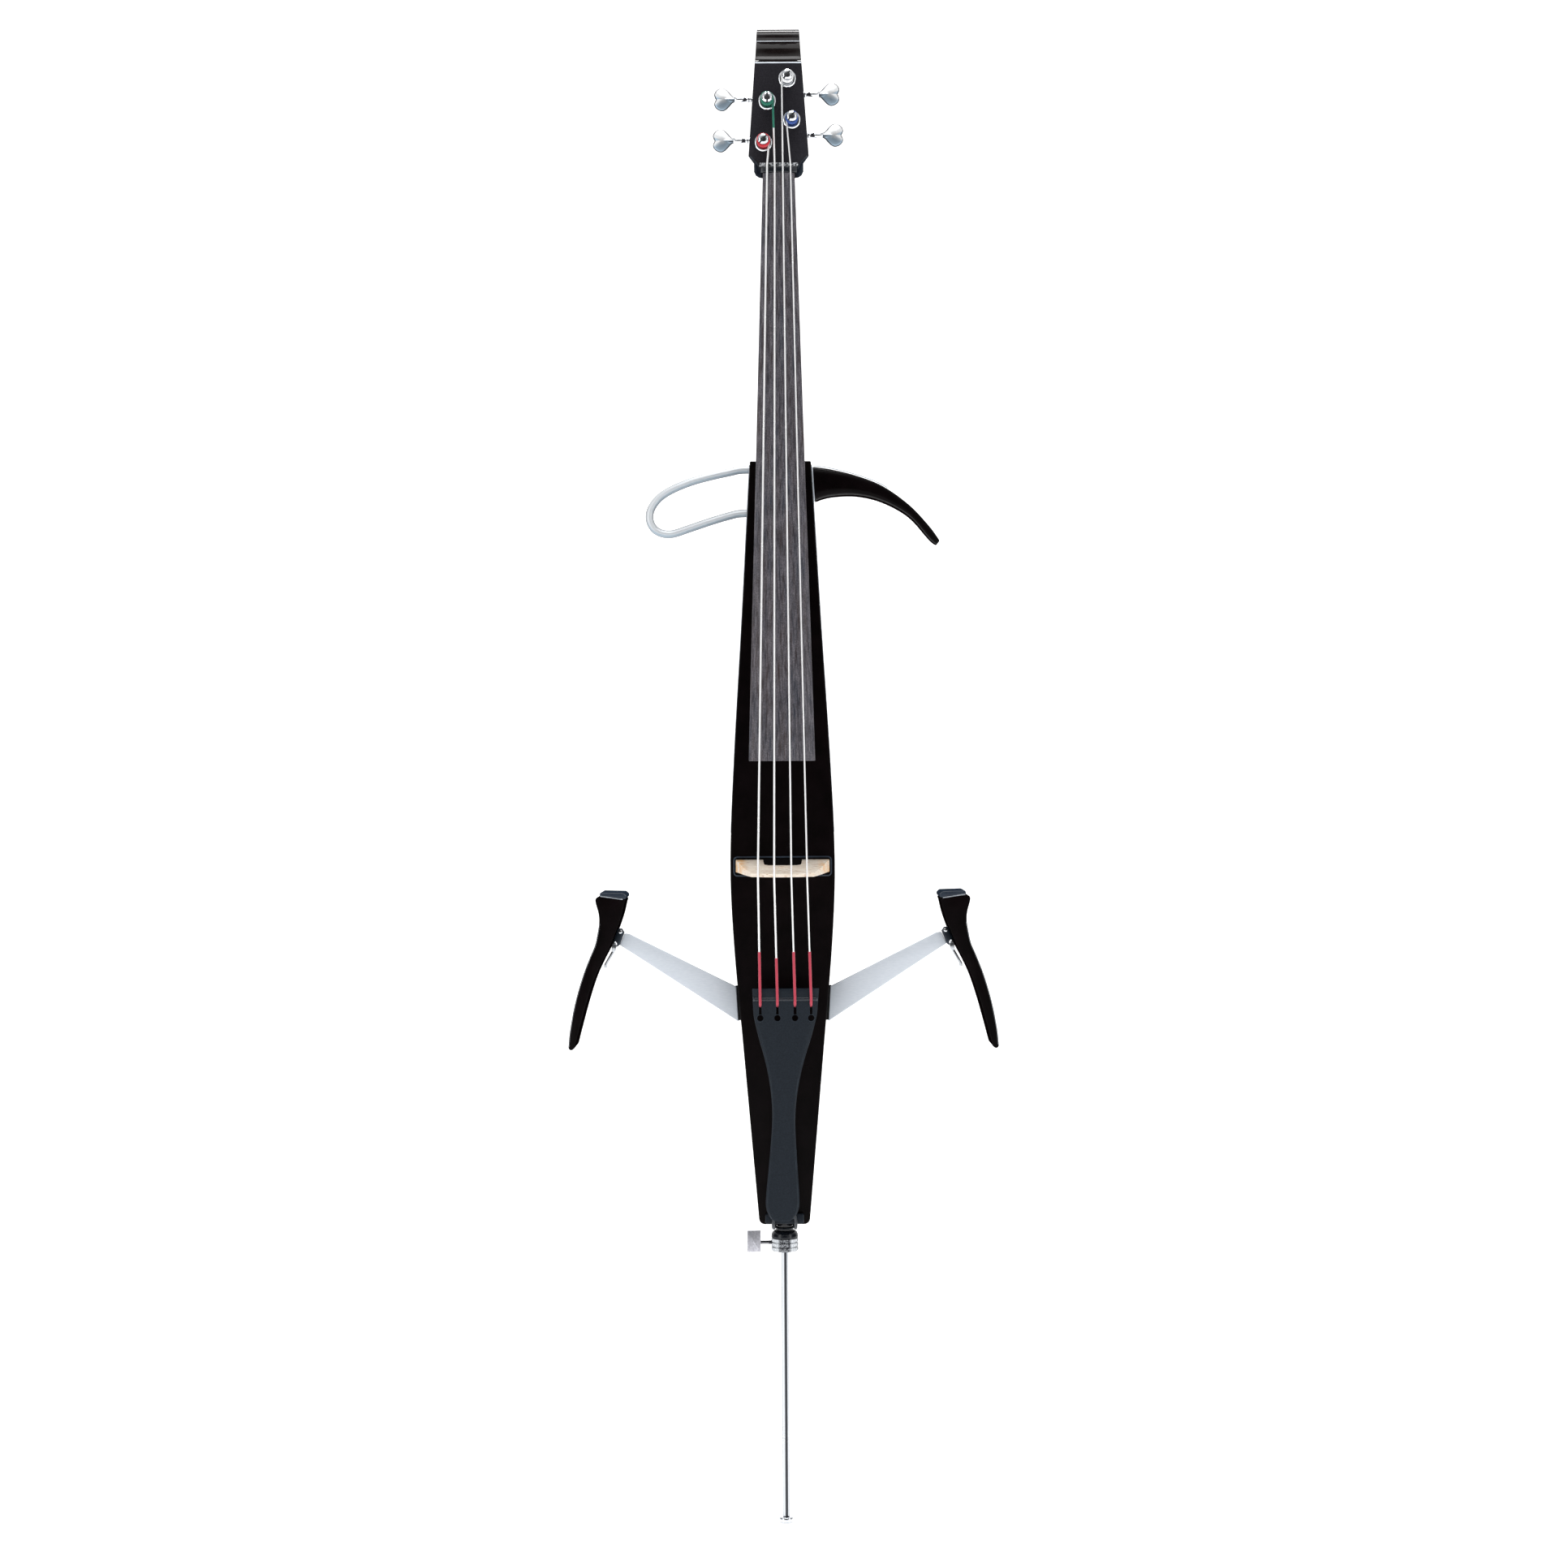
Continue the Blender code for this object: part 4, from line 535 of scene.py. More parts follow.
def between(stations, z):
    """Smooth value at height z, from (height, value) stations in order of height."""
    z = min(max(z, stations[0][0]), stations[-1][0])
    for i in range(len(stations) - 1):
        if z <= stations[i + 1][0]:
            break
    (z0, w0), (z1, w1) = stations[i], stations[i + 1]
    before = stations[max(i - 1, 0)]
    after = stations[min(i + 2, len(stations) - 1)]
    slope0 = (w1 - before[1]) / (z1 - before[0])
    slope1 = (after[1] - w0) / (after[0] - z0)
    span = z1 - z0
    t = (z - z0) / span
    return ((2 * t ** 3 - 3 * t ** 2 + 1) * w0 + (t ** 3 - 2 * t ** 2 + t) * span * slope0
            + (3 * t ** 2 - 2 * t ** 3) * w1 + (t ** 3 - t ** 2) * span * slope1)


def spaced(low, high, count):
    """Evenly spaced numbers from low to high."""
    return [low + (high - low) * i / count for i in range(count + 1)]


def rounded_rectangle(half_u, half_v, radius, centre=(0, 0), steps=6):
    """Outline of a rectangle with round corners."""
    points = []
    for quarter, (su, sv) in enumerate(((1, 1), (-1, 1), (-1, -1), (1, -1))):
        for step in range(steps + 1):
            angle = (quarter + step / steps) * math.pi / 2
            points.append((centre[0] + su * (half_u - radius) + radius * math.cos(angle),
                           centre[1] + sv * (half_v - radius) + radius * math.sin(angle)))
    return points


def mirrored(points):
    """The same outline on the other side, still in order."""
    return [(-u, v) for u, v in reversed(points)]


# %% Solids from outlines, profiles and sections
PLANES = {"xz": (lambda u, v, w: (u, w, v), (0, 1, 0)), "xy": (lambda u, v, w: (u, v, w), (0, 0, 1)),
          "yz": (lambda u, v, w: (w, u, v), (1, 0, 0))}
AXES = {"x": Matrix.Rotation(math.pi / 2, 4, "Y"), "-x": Matrix.Rotation(-math.pi / 2, 4, "Y"),
        "y": Matrix.Rotation(-math.pi / 2, 4, "X"), "-y": Matrix.Rotation(math.pi / 2, 4, "X"),
        "z": Matrix.Identity(4)}


def plate(outline, plane, low, high):
    """Fill an outline and push it out from one level to another."""
    spot, way = PLANES[plane]
    bm = bmesh.new()
    face = bm.faces.new([bm.verts.new(spot(u, v, low)) for u, v in outline])
    grown = bmesh.ops.extrude_face_region(bm, geom=[face])["geom"]
    bmesh.ops.translate(bm, verts=[g for g in grown if isinstance(g, bmesh.types.BMVert)],
                        vec=Vector(way) * (high - low))
    bmesh.ops.recalc_face_normals(bm, faces=bm.faces)
    return bm


def block(low, high):
    """A box between two corners."""
    bm = bmesh.new()
    centre = [(a + b) / 2 for a, b in zip(low, high)]
    size = [abs(b - a) for a, b in zip(low, high)]
    bmesh.ops.create_cube(bm, size=1, matrix=Matrix.Translation(centre) @ Matrix.Diagonal((*size, 1)))
    return bm


def turned(profile, axis="z", centre=(0, 0, 0), steps=48):
    """Spin a profile of (radius, distance along the axis) points."""
    bm = bmesh.new()
    line = [bm.verts.new((radius, 0, height)) for radius, height in profile]
    edges = [bm.edges.new(pair) for pair in zip(line, line[1:])]
    bmesh.ops.spin(bm, geom=line + edges, cent=(0, 0, 0), axis=(0, 0, 1), angle=2 * math.pi, steps=steps,
                   use_merge=True)
    bmesh.ops.remove_doubles(bm, verts=bm.verts, dist=0.001)
    bmesh.ops.transform(bm, matrix=Matrix.Translation(centre) @ AXES[axis], verts=bm.verts)
    bmesh.ops.recalc_face_normals(bm, faces=bm.faces)
    return bm


def rod(start, axis, length, radius, steps=32, edge=0.3):
    """A round rod with softened ends."""
    edge = min(edge, radius * 0.5)
    return turned([(0, 0), (radius - edge, 0), (radius, edge), (radius, length - edge),
                   (radius - edge, length), (0, length)], axis, start, steps)


def skin(rings):
    """Skin between sections of equal point count, closed at both ends."""
    bm = bmesh.new()
    loops = []
    for ring in rings:
        line = [bm.verts.new(point) for point in ring]
        loops.append([bm.edges.new(pair) for pair in zip(line, line[1:] + line[:1])])
    for lower_loop, upper_loop in zip(loops, loops[1:]):
        bmesh.ops.bridge_loops(bm, edges=lower_loop + upper_loop)
    bmesh.ops.holes_fill(bm, edges=loops[0] + loops[-1], sides=0)
    bmesh.ops.recalc_face_normals(bm, faces=bm.faces)
    return bm


def oval_ring(middle, reach, front, back, square=0.6, count=40):
    """A section with round corners: reach is half its width in the front plane."""
    depth, centre = (back - front) / 2, (back + front) / 2
    ring = []
    for i in range(count):
        angle = 2 * math.pi * i / count
        across = math.copysign(abs(math.cos(angle)) ** square, math.cos(angle))
        along = math.copysign(abs(math.sin(angle)) ** square, math.sin(angle))
        ring.append((middle[0] + reach[0] * across, centre + depth * along, middle[1] + reach[1] * across))
    return ring


def crowned(outlines, level, heights):
    """A lens-like plate: outlines that shrink inwards, each at its own height on both faces."""
    front = [[(u, level - h, v) for u, v in line] for line, h in zip(outlines, heights)]
    back = [[(u, level + h, v) for u, v in line] for line, h in zip(outlines, heights)]
    return skin(front[::-1] + back)


def round_edges(bm, width, segments=2, angle=40):
    """Round every edge that is sharper than an angle."""
    sharp = [e for e in bm.edges if len(e.link_faces) == 2 and e.calc_face_angle() > math.radians(angle)]
    bmesh.ops.bevel(bm, geom=sharp, offset=width, offset_type="OFFSET", affect="EDGES", segments=segments,
                    profile=0.5, material=-1, clamp_overlap=True)
    return bm


print("outline, spin and skin helpers are ready")


# %% Wires, carving and joining
def wire(points, radius, resolution=4):
    """A round wire along points, with closed ends."""
    curve = bpy.data.curves.new("wire", "CURVE")
    curve.dimensions = "3D"
    curve.bevel_depth = radius
    curve.bevel_resolution = resolution
    curve.use_fill_caps = True
    spline = curve.splines.new("POLY")
    spline.points.add(len(points) - 1)
    for point, place in zip(spline.points, points):
        point.co = (*place, 1)
    holder = bpy.data.objects.new("wire", curve)
    scene.collection.objects.link(holder)
    return taken(holder)


def taken(holder):
    """The finished shape of a temporary object as a bmesh; the object is removed."""
    bpy.context.view_layer.update()
    ready = holder.evaluated_get(bpy.context.evaluated_depsgraph_get())
    mesh = bpy.data.meshes.new_from_object(ready)
    bpy.data.objects.remove(holder)
    bm = bmesh.new()
    bm.from_mesh(mesh)
    bpy.data.meshes.remove(mesh)
    bmesh.ops.remove_doubles(bm, verts=bm.verts, dist=0.002)
    bmesh.ops.recalc_face_normals(bm, faces=bm.faces)
    return bm


def held(bm, name):
    """Put a bmesh on a temporary object."""
    mesh = bpy.data.meshes.new(name)
    bm.to_mesh(mesh)
    bm.free()
    holder = bpy.data.objects.new(name, mesh)
    scene.collection.objects.link(holder)
    return holder


def carve(solid, *cutters, keep="DIFFERENCE"):
    """Take shapes away from a solid, or join or intersect them with it."""
    work = held(solid, "work")
    tools = [held(cutter, "tool") for cutter in cutters]
    for tool in tools:
        change = work.modifiers.new("carve", "BOOLEAN")
        change.operation = keep
        change.solver = "EXACT"
        change.object = tool
    result = taken(work)
    for tool in tools:
        bpy.data.objects.remove(tool)
    return result


def gathered(*shapes):
    """Put several shapes that only touch into one bmesh."""
    whole = bmesh.new()
    for shape in shapes:
        mesh = bpy.data.meshes.new("part")
        shape.to_mesh(mesh)
        shape.free()
        whole.from_mesh(mesh)
        bpy.data.meshes.remove(mesh)
    return whole


def node_body(node):
    """Name of the body that a CAD node rides on."""
    return body_of(frame["nodes"][node])[0]


def piece(name, bm, material, *nodes, body=None, smooth=35):
    """Finish a piece: metres, soft shading, finish, body, and the CAD nodes that it stands for."""
    bmesh.ops.scale(bm, vec=(MM, MM, MM), verts=bm.verts)
    mesh = bpy.data.meshes.new(name)
    bm.to_mesh(mesh)
    bm.free()
    mesh.shade_smooth()
    mesh.set_sharp_from_angle(angle=math.radians(smooth))
    mesh.materials.append(material)
    obj = bpy.data.objects.new(name, mesh)
    scene.collection.objects.link(obj)
    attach(obj, body or node_body(nodes[0]))
    if nodes:
        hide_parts(*nodes)
    print(name, "faces", len(mesh.polygons))
    return obj


def repaint(material, *nodes):
    """Give CAD nodes a finish."""
    for node in nodes:
        for place in frame["nodes"][node].material_slots:
            place.material = material


# %% [markdown]
# ## Body
# The body is a long slim plank with a hollow back. Its outline swells to the bridge and narrows to
# both ends. It is one filled outline with a wide round along its edges, carved for the pickup
# frame, for the cover at the back and for the battery and circuit behind it.

# %% Make the body
BODY_BOTTOM, BODY_TOP = 314.9, 1064.4
BODY_HALF = [(BODY_BOTTOM, 24.6), (495, 40.1), (592, 48.4), (668, 51.4), (768, 47.4), (912, 38.6),
             (BODY_TOP, 30.0)]
FRONT, BACK = -25, 27
PEG_HEIGHTS = (1034, 1049)
LOOP_HEIGHTS = (1015.5, 1058.6)
right_side = [(between(BODY_HALF, z), z) for z in spaced(BODY_BOTTOM, BODY_TOP, 44)]
body = plate(right_side + mirrored(right_side), "xz", FRONT, BACK)
for height, radius, segments in ((BODY_TOP, 1.2, 3), (BODY_BOTTOM, 5.2, 5)):
    corners = [e for e in body.edges if abs(e.verts[0].co.y - e.verts[1].co.y) > 40
               and abs(e.verts[0].co.z - height) < 0.1]
    bmesh.ops.bevel(body, geom=corners, offset=radius, offset_type="OFFSET", affect="EDGES",
                    segments=segments, profile=0.5, material=-1)
body = round_edges(body, 4, 5, 60)
cutters = [plate(rounded_rectangle(48.7, 10.2, 4, (0, 666.5)), "xz", FRONT - 5, FRONT + 5),
           plate(rounded_rectangle(36.3, 125.3, 6, (0, 735)), "xz", BACK - 4.3, BACK + 5),
           block((-31, -12, 620), (31, BACK, 850)),
           rod((0, 0, 306.7), "z", 35, 12.3, 48, 0.1), rod((0, 0, 330), "z", 300, 7, 24, 0.1),
           rod((22, 12, 1042), "y", 20, 2.5, 16, 0.1)]
cutters += [rod((12, 0, z), "x", 30, 4.3, 24, 0.1) for z in PEG_HEIGHTS]
cutters += [rod((-42, 0, z), "x", 32, 4.5, 24, 0.1) for z in LOOP_HEIGHTS]
piece("body", carve(body, *cutters), LACQUER, "body_shell")
# Painted highlight: a thin light strip down each side edge of the upper body draws the silver line of light
# on the rounded edge.
EDGE_HIGHLIGHT_LOW, EDGE_HIGHLIGHT_HIGH = 700, 1061
for side, label in ((-1, "left"), (1, "right")):
    heights = spaced(EDGE_HIGHLIGHT_LOW, EDGE_HIGHLIGHT_HIGH, 20)
    outline = [(side * between(BODY_HALF, z), z) for z in heights]
    for z in reversed(heights):
        swell = 0.3 + 0.5 * (z - EDGE_HIGHLIGHT_LOW) / (EDGE_HIGHLIGHT_HIGH - EDGE_HIGHLIGHT_LOW)
        outline.append((side * (between(BODY_HALF, z) + swell), z))
    piece("body_edge_highlight_" + label, plate(outline, "xz", -20.8, -17.6), ALUMINIUM, body="body")

# %% [markdown]
# The cover at the back holds a battery door and a panel with the jacks, a volume knob and a power
# switch. Small countersunk screws hold it, and each is a dished head with a cross slot.


# %% Cover, door, panel and screws
def screw_head(name, centre, axis, radius, material, body, height=0.9):
    """A low round screw head with a cross slot."""
    head = turned([(0, height), (radius * 0.7, height), (radius, height * 0.4), (radius, 0), (0, 0)], "z",
                  (0, 0, 0), 20)
    arms = [block((-radius * 0.62, -radius * 0.12, height * 0.45),
                  (radius * 0.62, radius * 0.12, height + 1)),
            block((-radius * 0.12, -radius * 0.62, height * 0.45),
                  (radius * 0.12, radius * 0.62, height + 1))]
    head = carve(head, *arms)
    bmesh.ops.transform(head, matrix=Matrix.Translation(centre) @ AXES[axis], verts=head.verts)
    return piece(name, head, material, body=body)


cover = round_edges(plate(rounded_rectangle(36, 125, 6, (0, 735)), "xz", BACK - 4, BACK), 0.8, 3, 60)
cover = carve(cover, block((-22.3, 10, 625.7), (22.3, 40, 690.3)),
              block((-24.3, BACK - 2.5, 761.7), (24.3, 40, 842.3)),
              block((-21, 10, 765), (21, 40, 839)))
piece("back_cover", cover, PLASTIC, "back_cover")
for row, z in enumerate((616, 725, 854)):
    for side in (-1, 1):
        screw_head(f"cover_screw_{row}_{'lr'[side > 0]}", (side * 31, BACK - 0.9, z), "y", 2.4, STEEL,
                   "body")

door = round_edges(block((-22, BACK - 2.5, 626), (22, BACK, 690)), 0.5, 2, 60)
door = carve(door, *[block((-9, BACK - 0.7, z), (9, BACK + 1, z + 1.4)) for z in spaced(672, 684, 4)])
piece("battery_door", door, PLASTIC, "battery_door")

panel = round_edges(block((-24, BACK - 2.2, 762), (24, BACK, 842)), 0.4, 2, 60)
panel = carve(panel, rod((-12, 10, 780), "y", 30, 3.4, 24, 0.1), block((9.4, 10, 774), (14.6, 40, 786)),
              *[rod((-10, 10, z), "y", 30, 3.2, 32, 0.1) for z in (800, 815, 830)])
piece("jack_panel", panel, CHARCOAL, "jack_panel")
for number, z in enumerate((800, 815, 830)):
    ring = turned([(3.3, 0.2), (5.6, 0.2), (5.6, 1.5), (5.0, 2.0), (3.8, 2.0), (3.3, 1.6), (3.3, 0.2)], "y",
                  (-10, BACK - 0.15, z), 40)
    piece(f"jack_ring_{number}", ring, CHROME, body="body")
knob = [(0, 9), (5.4, 9), (6.2, 8.7), (6.7, 8), (7.3, 1.6), (7.4, 0.6), (3, 0.6), (3, -12), (0, -12)]
knob = turned(knob, "y", (-12, BACK, 780), 60)
for vertex in knob.verts:
    arm = Vector((vertex.co.x + 12, 0, vertex.co.z - 780))
    if arm.length > 6.5 and round(math.degrees(math.atan2(arm.z, arm.x)) / 6) % 2:
        vertex.co -= arm * 0.045
knob = carve(knob, block((-12.5, BACK + 8.5, 781), (-11.5, BACK + 12, 787)))
piece("volume_knob", knob, PLASTIC, "volume_knob")
slider = round_edges(block((10, BACK - 9, 775.5), (14, BACK + 1.6, 780.5)), 0.4, 2, 60)
piece("power_switch", slider, NUT_BLACK, "power_switch")
repaint(BOARD_GREEN, "circuit_board")
repaint(PLASTIC, "battery_holder")
for side in (-1, 1):
    spring = [(side * 10 + 4 * math.cos(a) * (1 - a / 60), 8 + a * 0.12,
               634 + 4 * math.sin(a) * (1 - a / 60))
              for a in spaced(0, 8 * math.pi, 64)]
    piece(f"battery_spring_{'lr'[side > 0]}", wire(spring, 0.4, 2), GOLD, body="body")

# %% [markdown]
# ## Neck and fingerboard
# The neck is round behind and swells into a heel on the body's top. The fingerboard is flat below
# and arched above, and it tapers from its free end to the nut. Both are skins between sections.

# %% Places along the strings
NUT_Z, BRIDGE_Z, BOARD_END = 1345.3, 658.2, 769.5
NUT_STRING_Y, BRIDGE_STRING_Y = -39, -103
ARCH = 62


def string_y(z):
    """Depth of the string plane at height z."""
    return NUT_STRING_Y + (NUT_Z - z) / (NUT_Z - BRIDGE_Z) * (BRIDGE_STRING_Y - NUT_STRING_Y)


def board_share(z):
    """0 at the nut and 1 at the free end of the fingerboard."""
    return (NUT_Z - z) / (NUT_Z - BOARD_END)


def board_half(z):
    """Half width of the fingerboard."""
    return 15.6 + board_share(z) * 16.4


def board_top(z):
    """Depth of the fingerboard's crown."""
    return string_y(z) + 1.4 + 5.0 * board_share(z)


def drop(x):
    """How far a round surface falls away at x from its middle."""
    return ARCH - math.sqrt(ARCH ** 2 - x ** 2)


def board_under(z):
    """Depth of the fingerboard's flat underside."""
    return board_top(z) + drop(board_half(z)) + 5


# %% Make the neck and fingerboard
NECK_BACK = [(1064.7, 20), (1072, 12), (1085, -8), (1105, -22), (1150, -21), (1300, -10.5), (1340.5, -9)]
NECK_SQUARE = [(1064.7, 0.35), (1072, 0.45), (1085, 0.6), (1105, 0.8), (1150, 0.9), (1340.5, 0.9)]
rings = []
for z in [*spaced(1064.7, 1110, 14), *spaced(1120, 1340.5, 12)]:
    half = board_half(z) - 0.4
    front = board_under(z) + 0.3
    back, square = between(NECK_BACK, z), between(NECK_SQUARE, z)
    ring = []
    for i in range(25):
        angle = math.pi * i / 24
        x = half * math.copysign(abs(math.cos(angle)) ** square, math.cos(angle))
        ring.append((x, front + (back - front) * math.sin(angle) ** square, z))
    rings.append(ring)
piece("neck", round_edges(skin(rings), 0.5, 2, 50), LACQUER, "neck")
rings = []
for z in spaced(950, 1072.4, 4):
    front, back = board_under(z) + 0.3, FRONT - 0.3
    rings.append([(-19, front, z), (19, front, z), (19, back, z), (-19, back, z)])
piece("neck_tongue", round_edges(skin(rings), 1.0, 2, 50), LACQUER, body="body")

rings = []
for z in spaced(BOARD_END, NUT_Z, 24):
    half = board_half(z)
    ring = [(half, board_under(z), z)]
    ring += [(x, board_top(z) + drop(x), z) for x in spaced(half, -half, 20)]
    ring.append((-half, board_under(z), z))
    rings.append(ring)
piece("fingerboard", round_edges(skin(rings), 0.9, 3, 30), EBONY, "fingerboard")

# %% [markdown]
# ## Head, nut and machine heads
# The head is a plate with a scooped band and a rolled top. Its side view is pushed out across the
# head and then cut to its front outline, so the scoop runs from edge to edge. Its crest is polished
# and its face is satin, so the solid is parted where the scoop begins, and a bright wire along each
# edge of the scoop is a painted highlight. The nut is a small block with a groove under each string.
# A speckled light strip above it is a painted reflection, and a chrome sliver at each end of the nut
# is a painted glint.

# %% Make the head and nut
HEAD_FRONT, HEAD_BACK = -30.2, -6.7
side_view = [(HEAD_BACK, 1340.8), (HEAD_FRONT, 1340.8), (HEAD_FRONT, 1453.8), (HEAD_FRONT + 0.6, 1455.6)]
side_view += [(HEAD_FRONT + 1.6 + 4.9 * math.sin(a), 1465.2 - 9.4 * math.cos(a))
              for a in spaced(0, math.pi, 18)]
side_view += [(HEAD_FRONT - 0.2, 1474.7), (HEAD_FRONT + 0.3, 1476.2)]
side_view += [(-22 - 9.2 * math.cos(a), 1480.5 + 8 * math.sin(a))
              for a in spaced(math.radians(-24), math.radians(90), 14)]
side_view += [(-14, 1488.3), (-11, 1487.4), (-8, 1485.2), (HEAD_BACK, 1482)]
front_view = [(16, 1335), (16, 1341), (19, 1341.4), (22.4, 1343.5), (24.2, 1347.3), (24.2, 1355.2),
              (29.6, 1362.6), (20.7, 1486), (20.5, 1495)]
head = carve(plate(side_view, "yz", -40, 40), plate(front_view + mirrored(front_view), "xz", -60, 20),
             keep="INTERSECT")
head = round_edges(head, 0.45, 2, 28)
POSTS = {"c": (-14.8, 1375.8), "g": (-10.9, 1416.6), "d": (8.8, 1438.5), "a": (13.0, 1398.0)}
head = carve(head, *[rod((x, -60, z), "y", 36, 6, 24, 0.1) for x, z in POSTS.values()],
             *[rod((x, -60, z), "y", 60, 4.2, 24, 0.1) for x, z in POSTS.values()])
for vertex in head.verts:
    if vertex.co.z < 1363.5 and abs(vertex.co.x) > 15.5:
        vertex.co.z += 0.25 * (vertex.co.y - HEAD_FRONT)
CREST_LOW = 1453.6
crest = carve(head.copy(), block((-40, -60, CREST_LOW), (40, 20, 1500)), keep="INTERSECT")
face = carve(head, block((-40, -60, 1330), (40, 20, CREST_LOW)), keep="INTERSECT")
piece("head_crest", crest, CREST, body="body")
piece("head", face, CHARCOAL, "head")
# Painted highlight: a bright wire along each edge of the scoop draws the line of light that the edge
# catches.
for label, z, half_width, radius in (("low", 1454.3, 22.7, 0.75), ("high", 1475.3, 21.1, 0.4)):
    edge = wire([(-half_width, HEAD_FRONT + 0.25, z), (half_width, HEAD_FRONT + 0.25, z)], radius, 2)
    piece("crest_highlight_wire_" + label, edge, ALUMINIUM, body="body")
# Painted reflection: a speckled light block above the nut stands in for the light on the slope from head to
# nut.
reflection_strip = round_edges(block((-19.0, HEAD_FRONT - 1.0, 1352.4), (19.0, HEAD_FRONT + 0.3, 1356.2)), 0.5, 2, 60)
piece("nut_reflection_strip", reflection_strip, SPECKLED_REFLECTION, body="body")
for side, label in ((-1, "left"), (1, "right")):
    outline = [(15.9, 1341.0), (18.8, 1341.5), (22.2, 1343.6), (23.9, 1347.3), (23.9, 1355.4),
               (29.1, 1362.4),
               (27.4, 1362.9), (21.4, 1356.6), (18.6, 1351.4)]
    outline = [(side * u, v) for u, v in outline]
    flange = round_edges(plate(outline, "xz", HEAD_FRONT - 0.8, HEAD_FRONT + 0.2), 0.35, 2, 40)
    piece("head_shoulder_" + label, flange, SHOULDER, body="body")

STRINGS = ("c", "g", "d", "a")
RADIUS = {"c": 1.0, "g": 0.95, "d": 0.85, "a": 0.8}
NUT_X = {"c": -11.4, "g": -3.9, "d": 4.0, "a": 11.6}
BRIDGE_X = {"c": -23.6, "g": -8.1, "d": 8.3, "a": 23.4}
TAIL_X = {"c": -22.4, "g": -5.8, "d": 11.2, "a": 26.8}
nut_top = NUT_STRING_Y + 1.6
nut_line = [(18, HEAD_FRONT - 0.3), (18, nut_top + 2.2), (13, nut_top + 0.9), (5, nut_top)]
nut = round_edges(plate(nut_line + mirrored(nut_line), "xy", NUT_Z + 0.3, 1351.8), 1.0, 4, 25)
nut = carve(nut, *[rod((NUT_X[s], NUT_STRING_Y - RADIUS[s] + drop(NUT_X[s]) * 0.6, 1340), "z", 20,
                       RADIUS[s] + 0.1, 16, 0.05) for s in STRINGS])
piece("nut", nut, NUT_BLACK, "nut")
# Painted glints: a small chrome sliver at each end of the nut.
for side, label in ((-1, "left"), (1, "right")):
    glint_sliver = block((side * 17.0 - 0.5, HEAD_FRONT - 4.9, NUT_Z + 1),
                   (side * 17.0 + 0.5, HEAD_FRONT - 4.2, 1351))
    piece("nut_glint_" + label, round_edges(glint_sliver, 0.2, 1, 60), CHROME, body="body")

# %% [markdown]
# Each string is wound on a post that a worm and a wheel turn. In front are a chrome ring and the
# post's slotted head, behind is a steel plate that carries the worm, and out to the side is a knob
# whose paddle is cut like a heart. The paddle is a lens-like skin between shrinking hearts, with a
# ridge along its middle.

# %% Places of the worms and knobs
KNOB_END = {"c": 65.0, "g": 63.5, "d": 60.5, "a": 64.0}
SLOT_TURN = {"c": 42, "g": 0, "d": 40, "a": 38}
WORM_Y = -1.4
WAIST = 4.2


def gear(centre, radius, teeth):
    """Outline of a wheel with plain teeth."""
    points = []
    for tooth in range(teeth):
        for share, level in ((-0.32, 0.86), (-0.17, 1.0), (0.17, 1.0), (0.32, 0.86)):
            angle = 2 * math.pi * (tooth + share) / teeth
            points.append((centre[0] + radius * level * math.cos(angle),
                           centre[1] + radius * level * math.sin(angle)))
    return points


def heart(tip, side, z):
    """Front outline of a knob's paddle."""
    half = [(-21.5, 2.4), (-18.5, 3.2), (-15.0, 7.0), (-11.5, 10.2), (-8.0, 11.4), (-4.0, 10.3),
            (-1.0, 7.6), (0.0, 4.4), (-0.9, 1.6), (-1.8, 0.0)]
    upper = [(side * (tip + u), z + v) for u, v in smooth_line(half, 3)]
    return upper + [(x, 2 * z - v) for x, v in reversed(upper[:-1])]


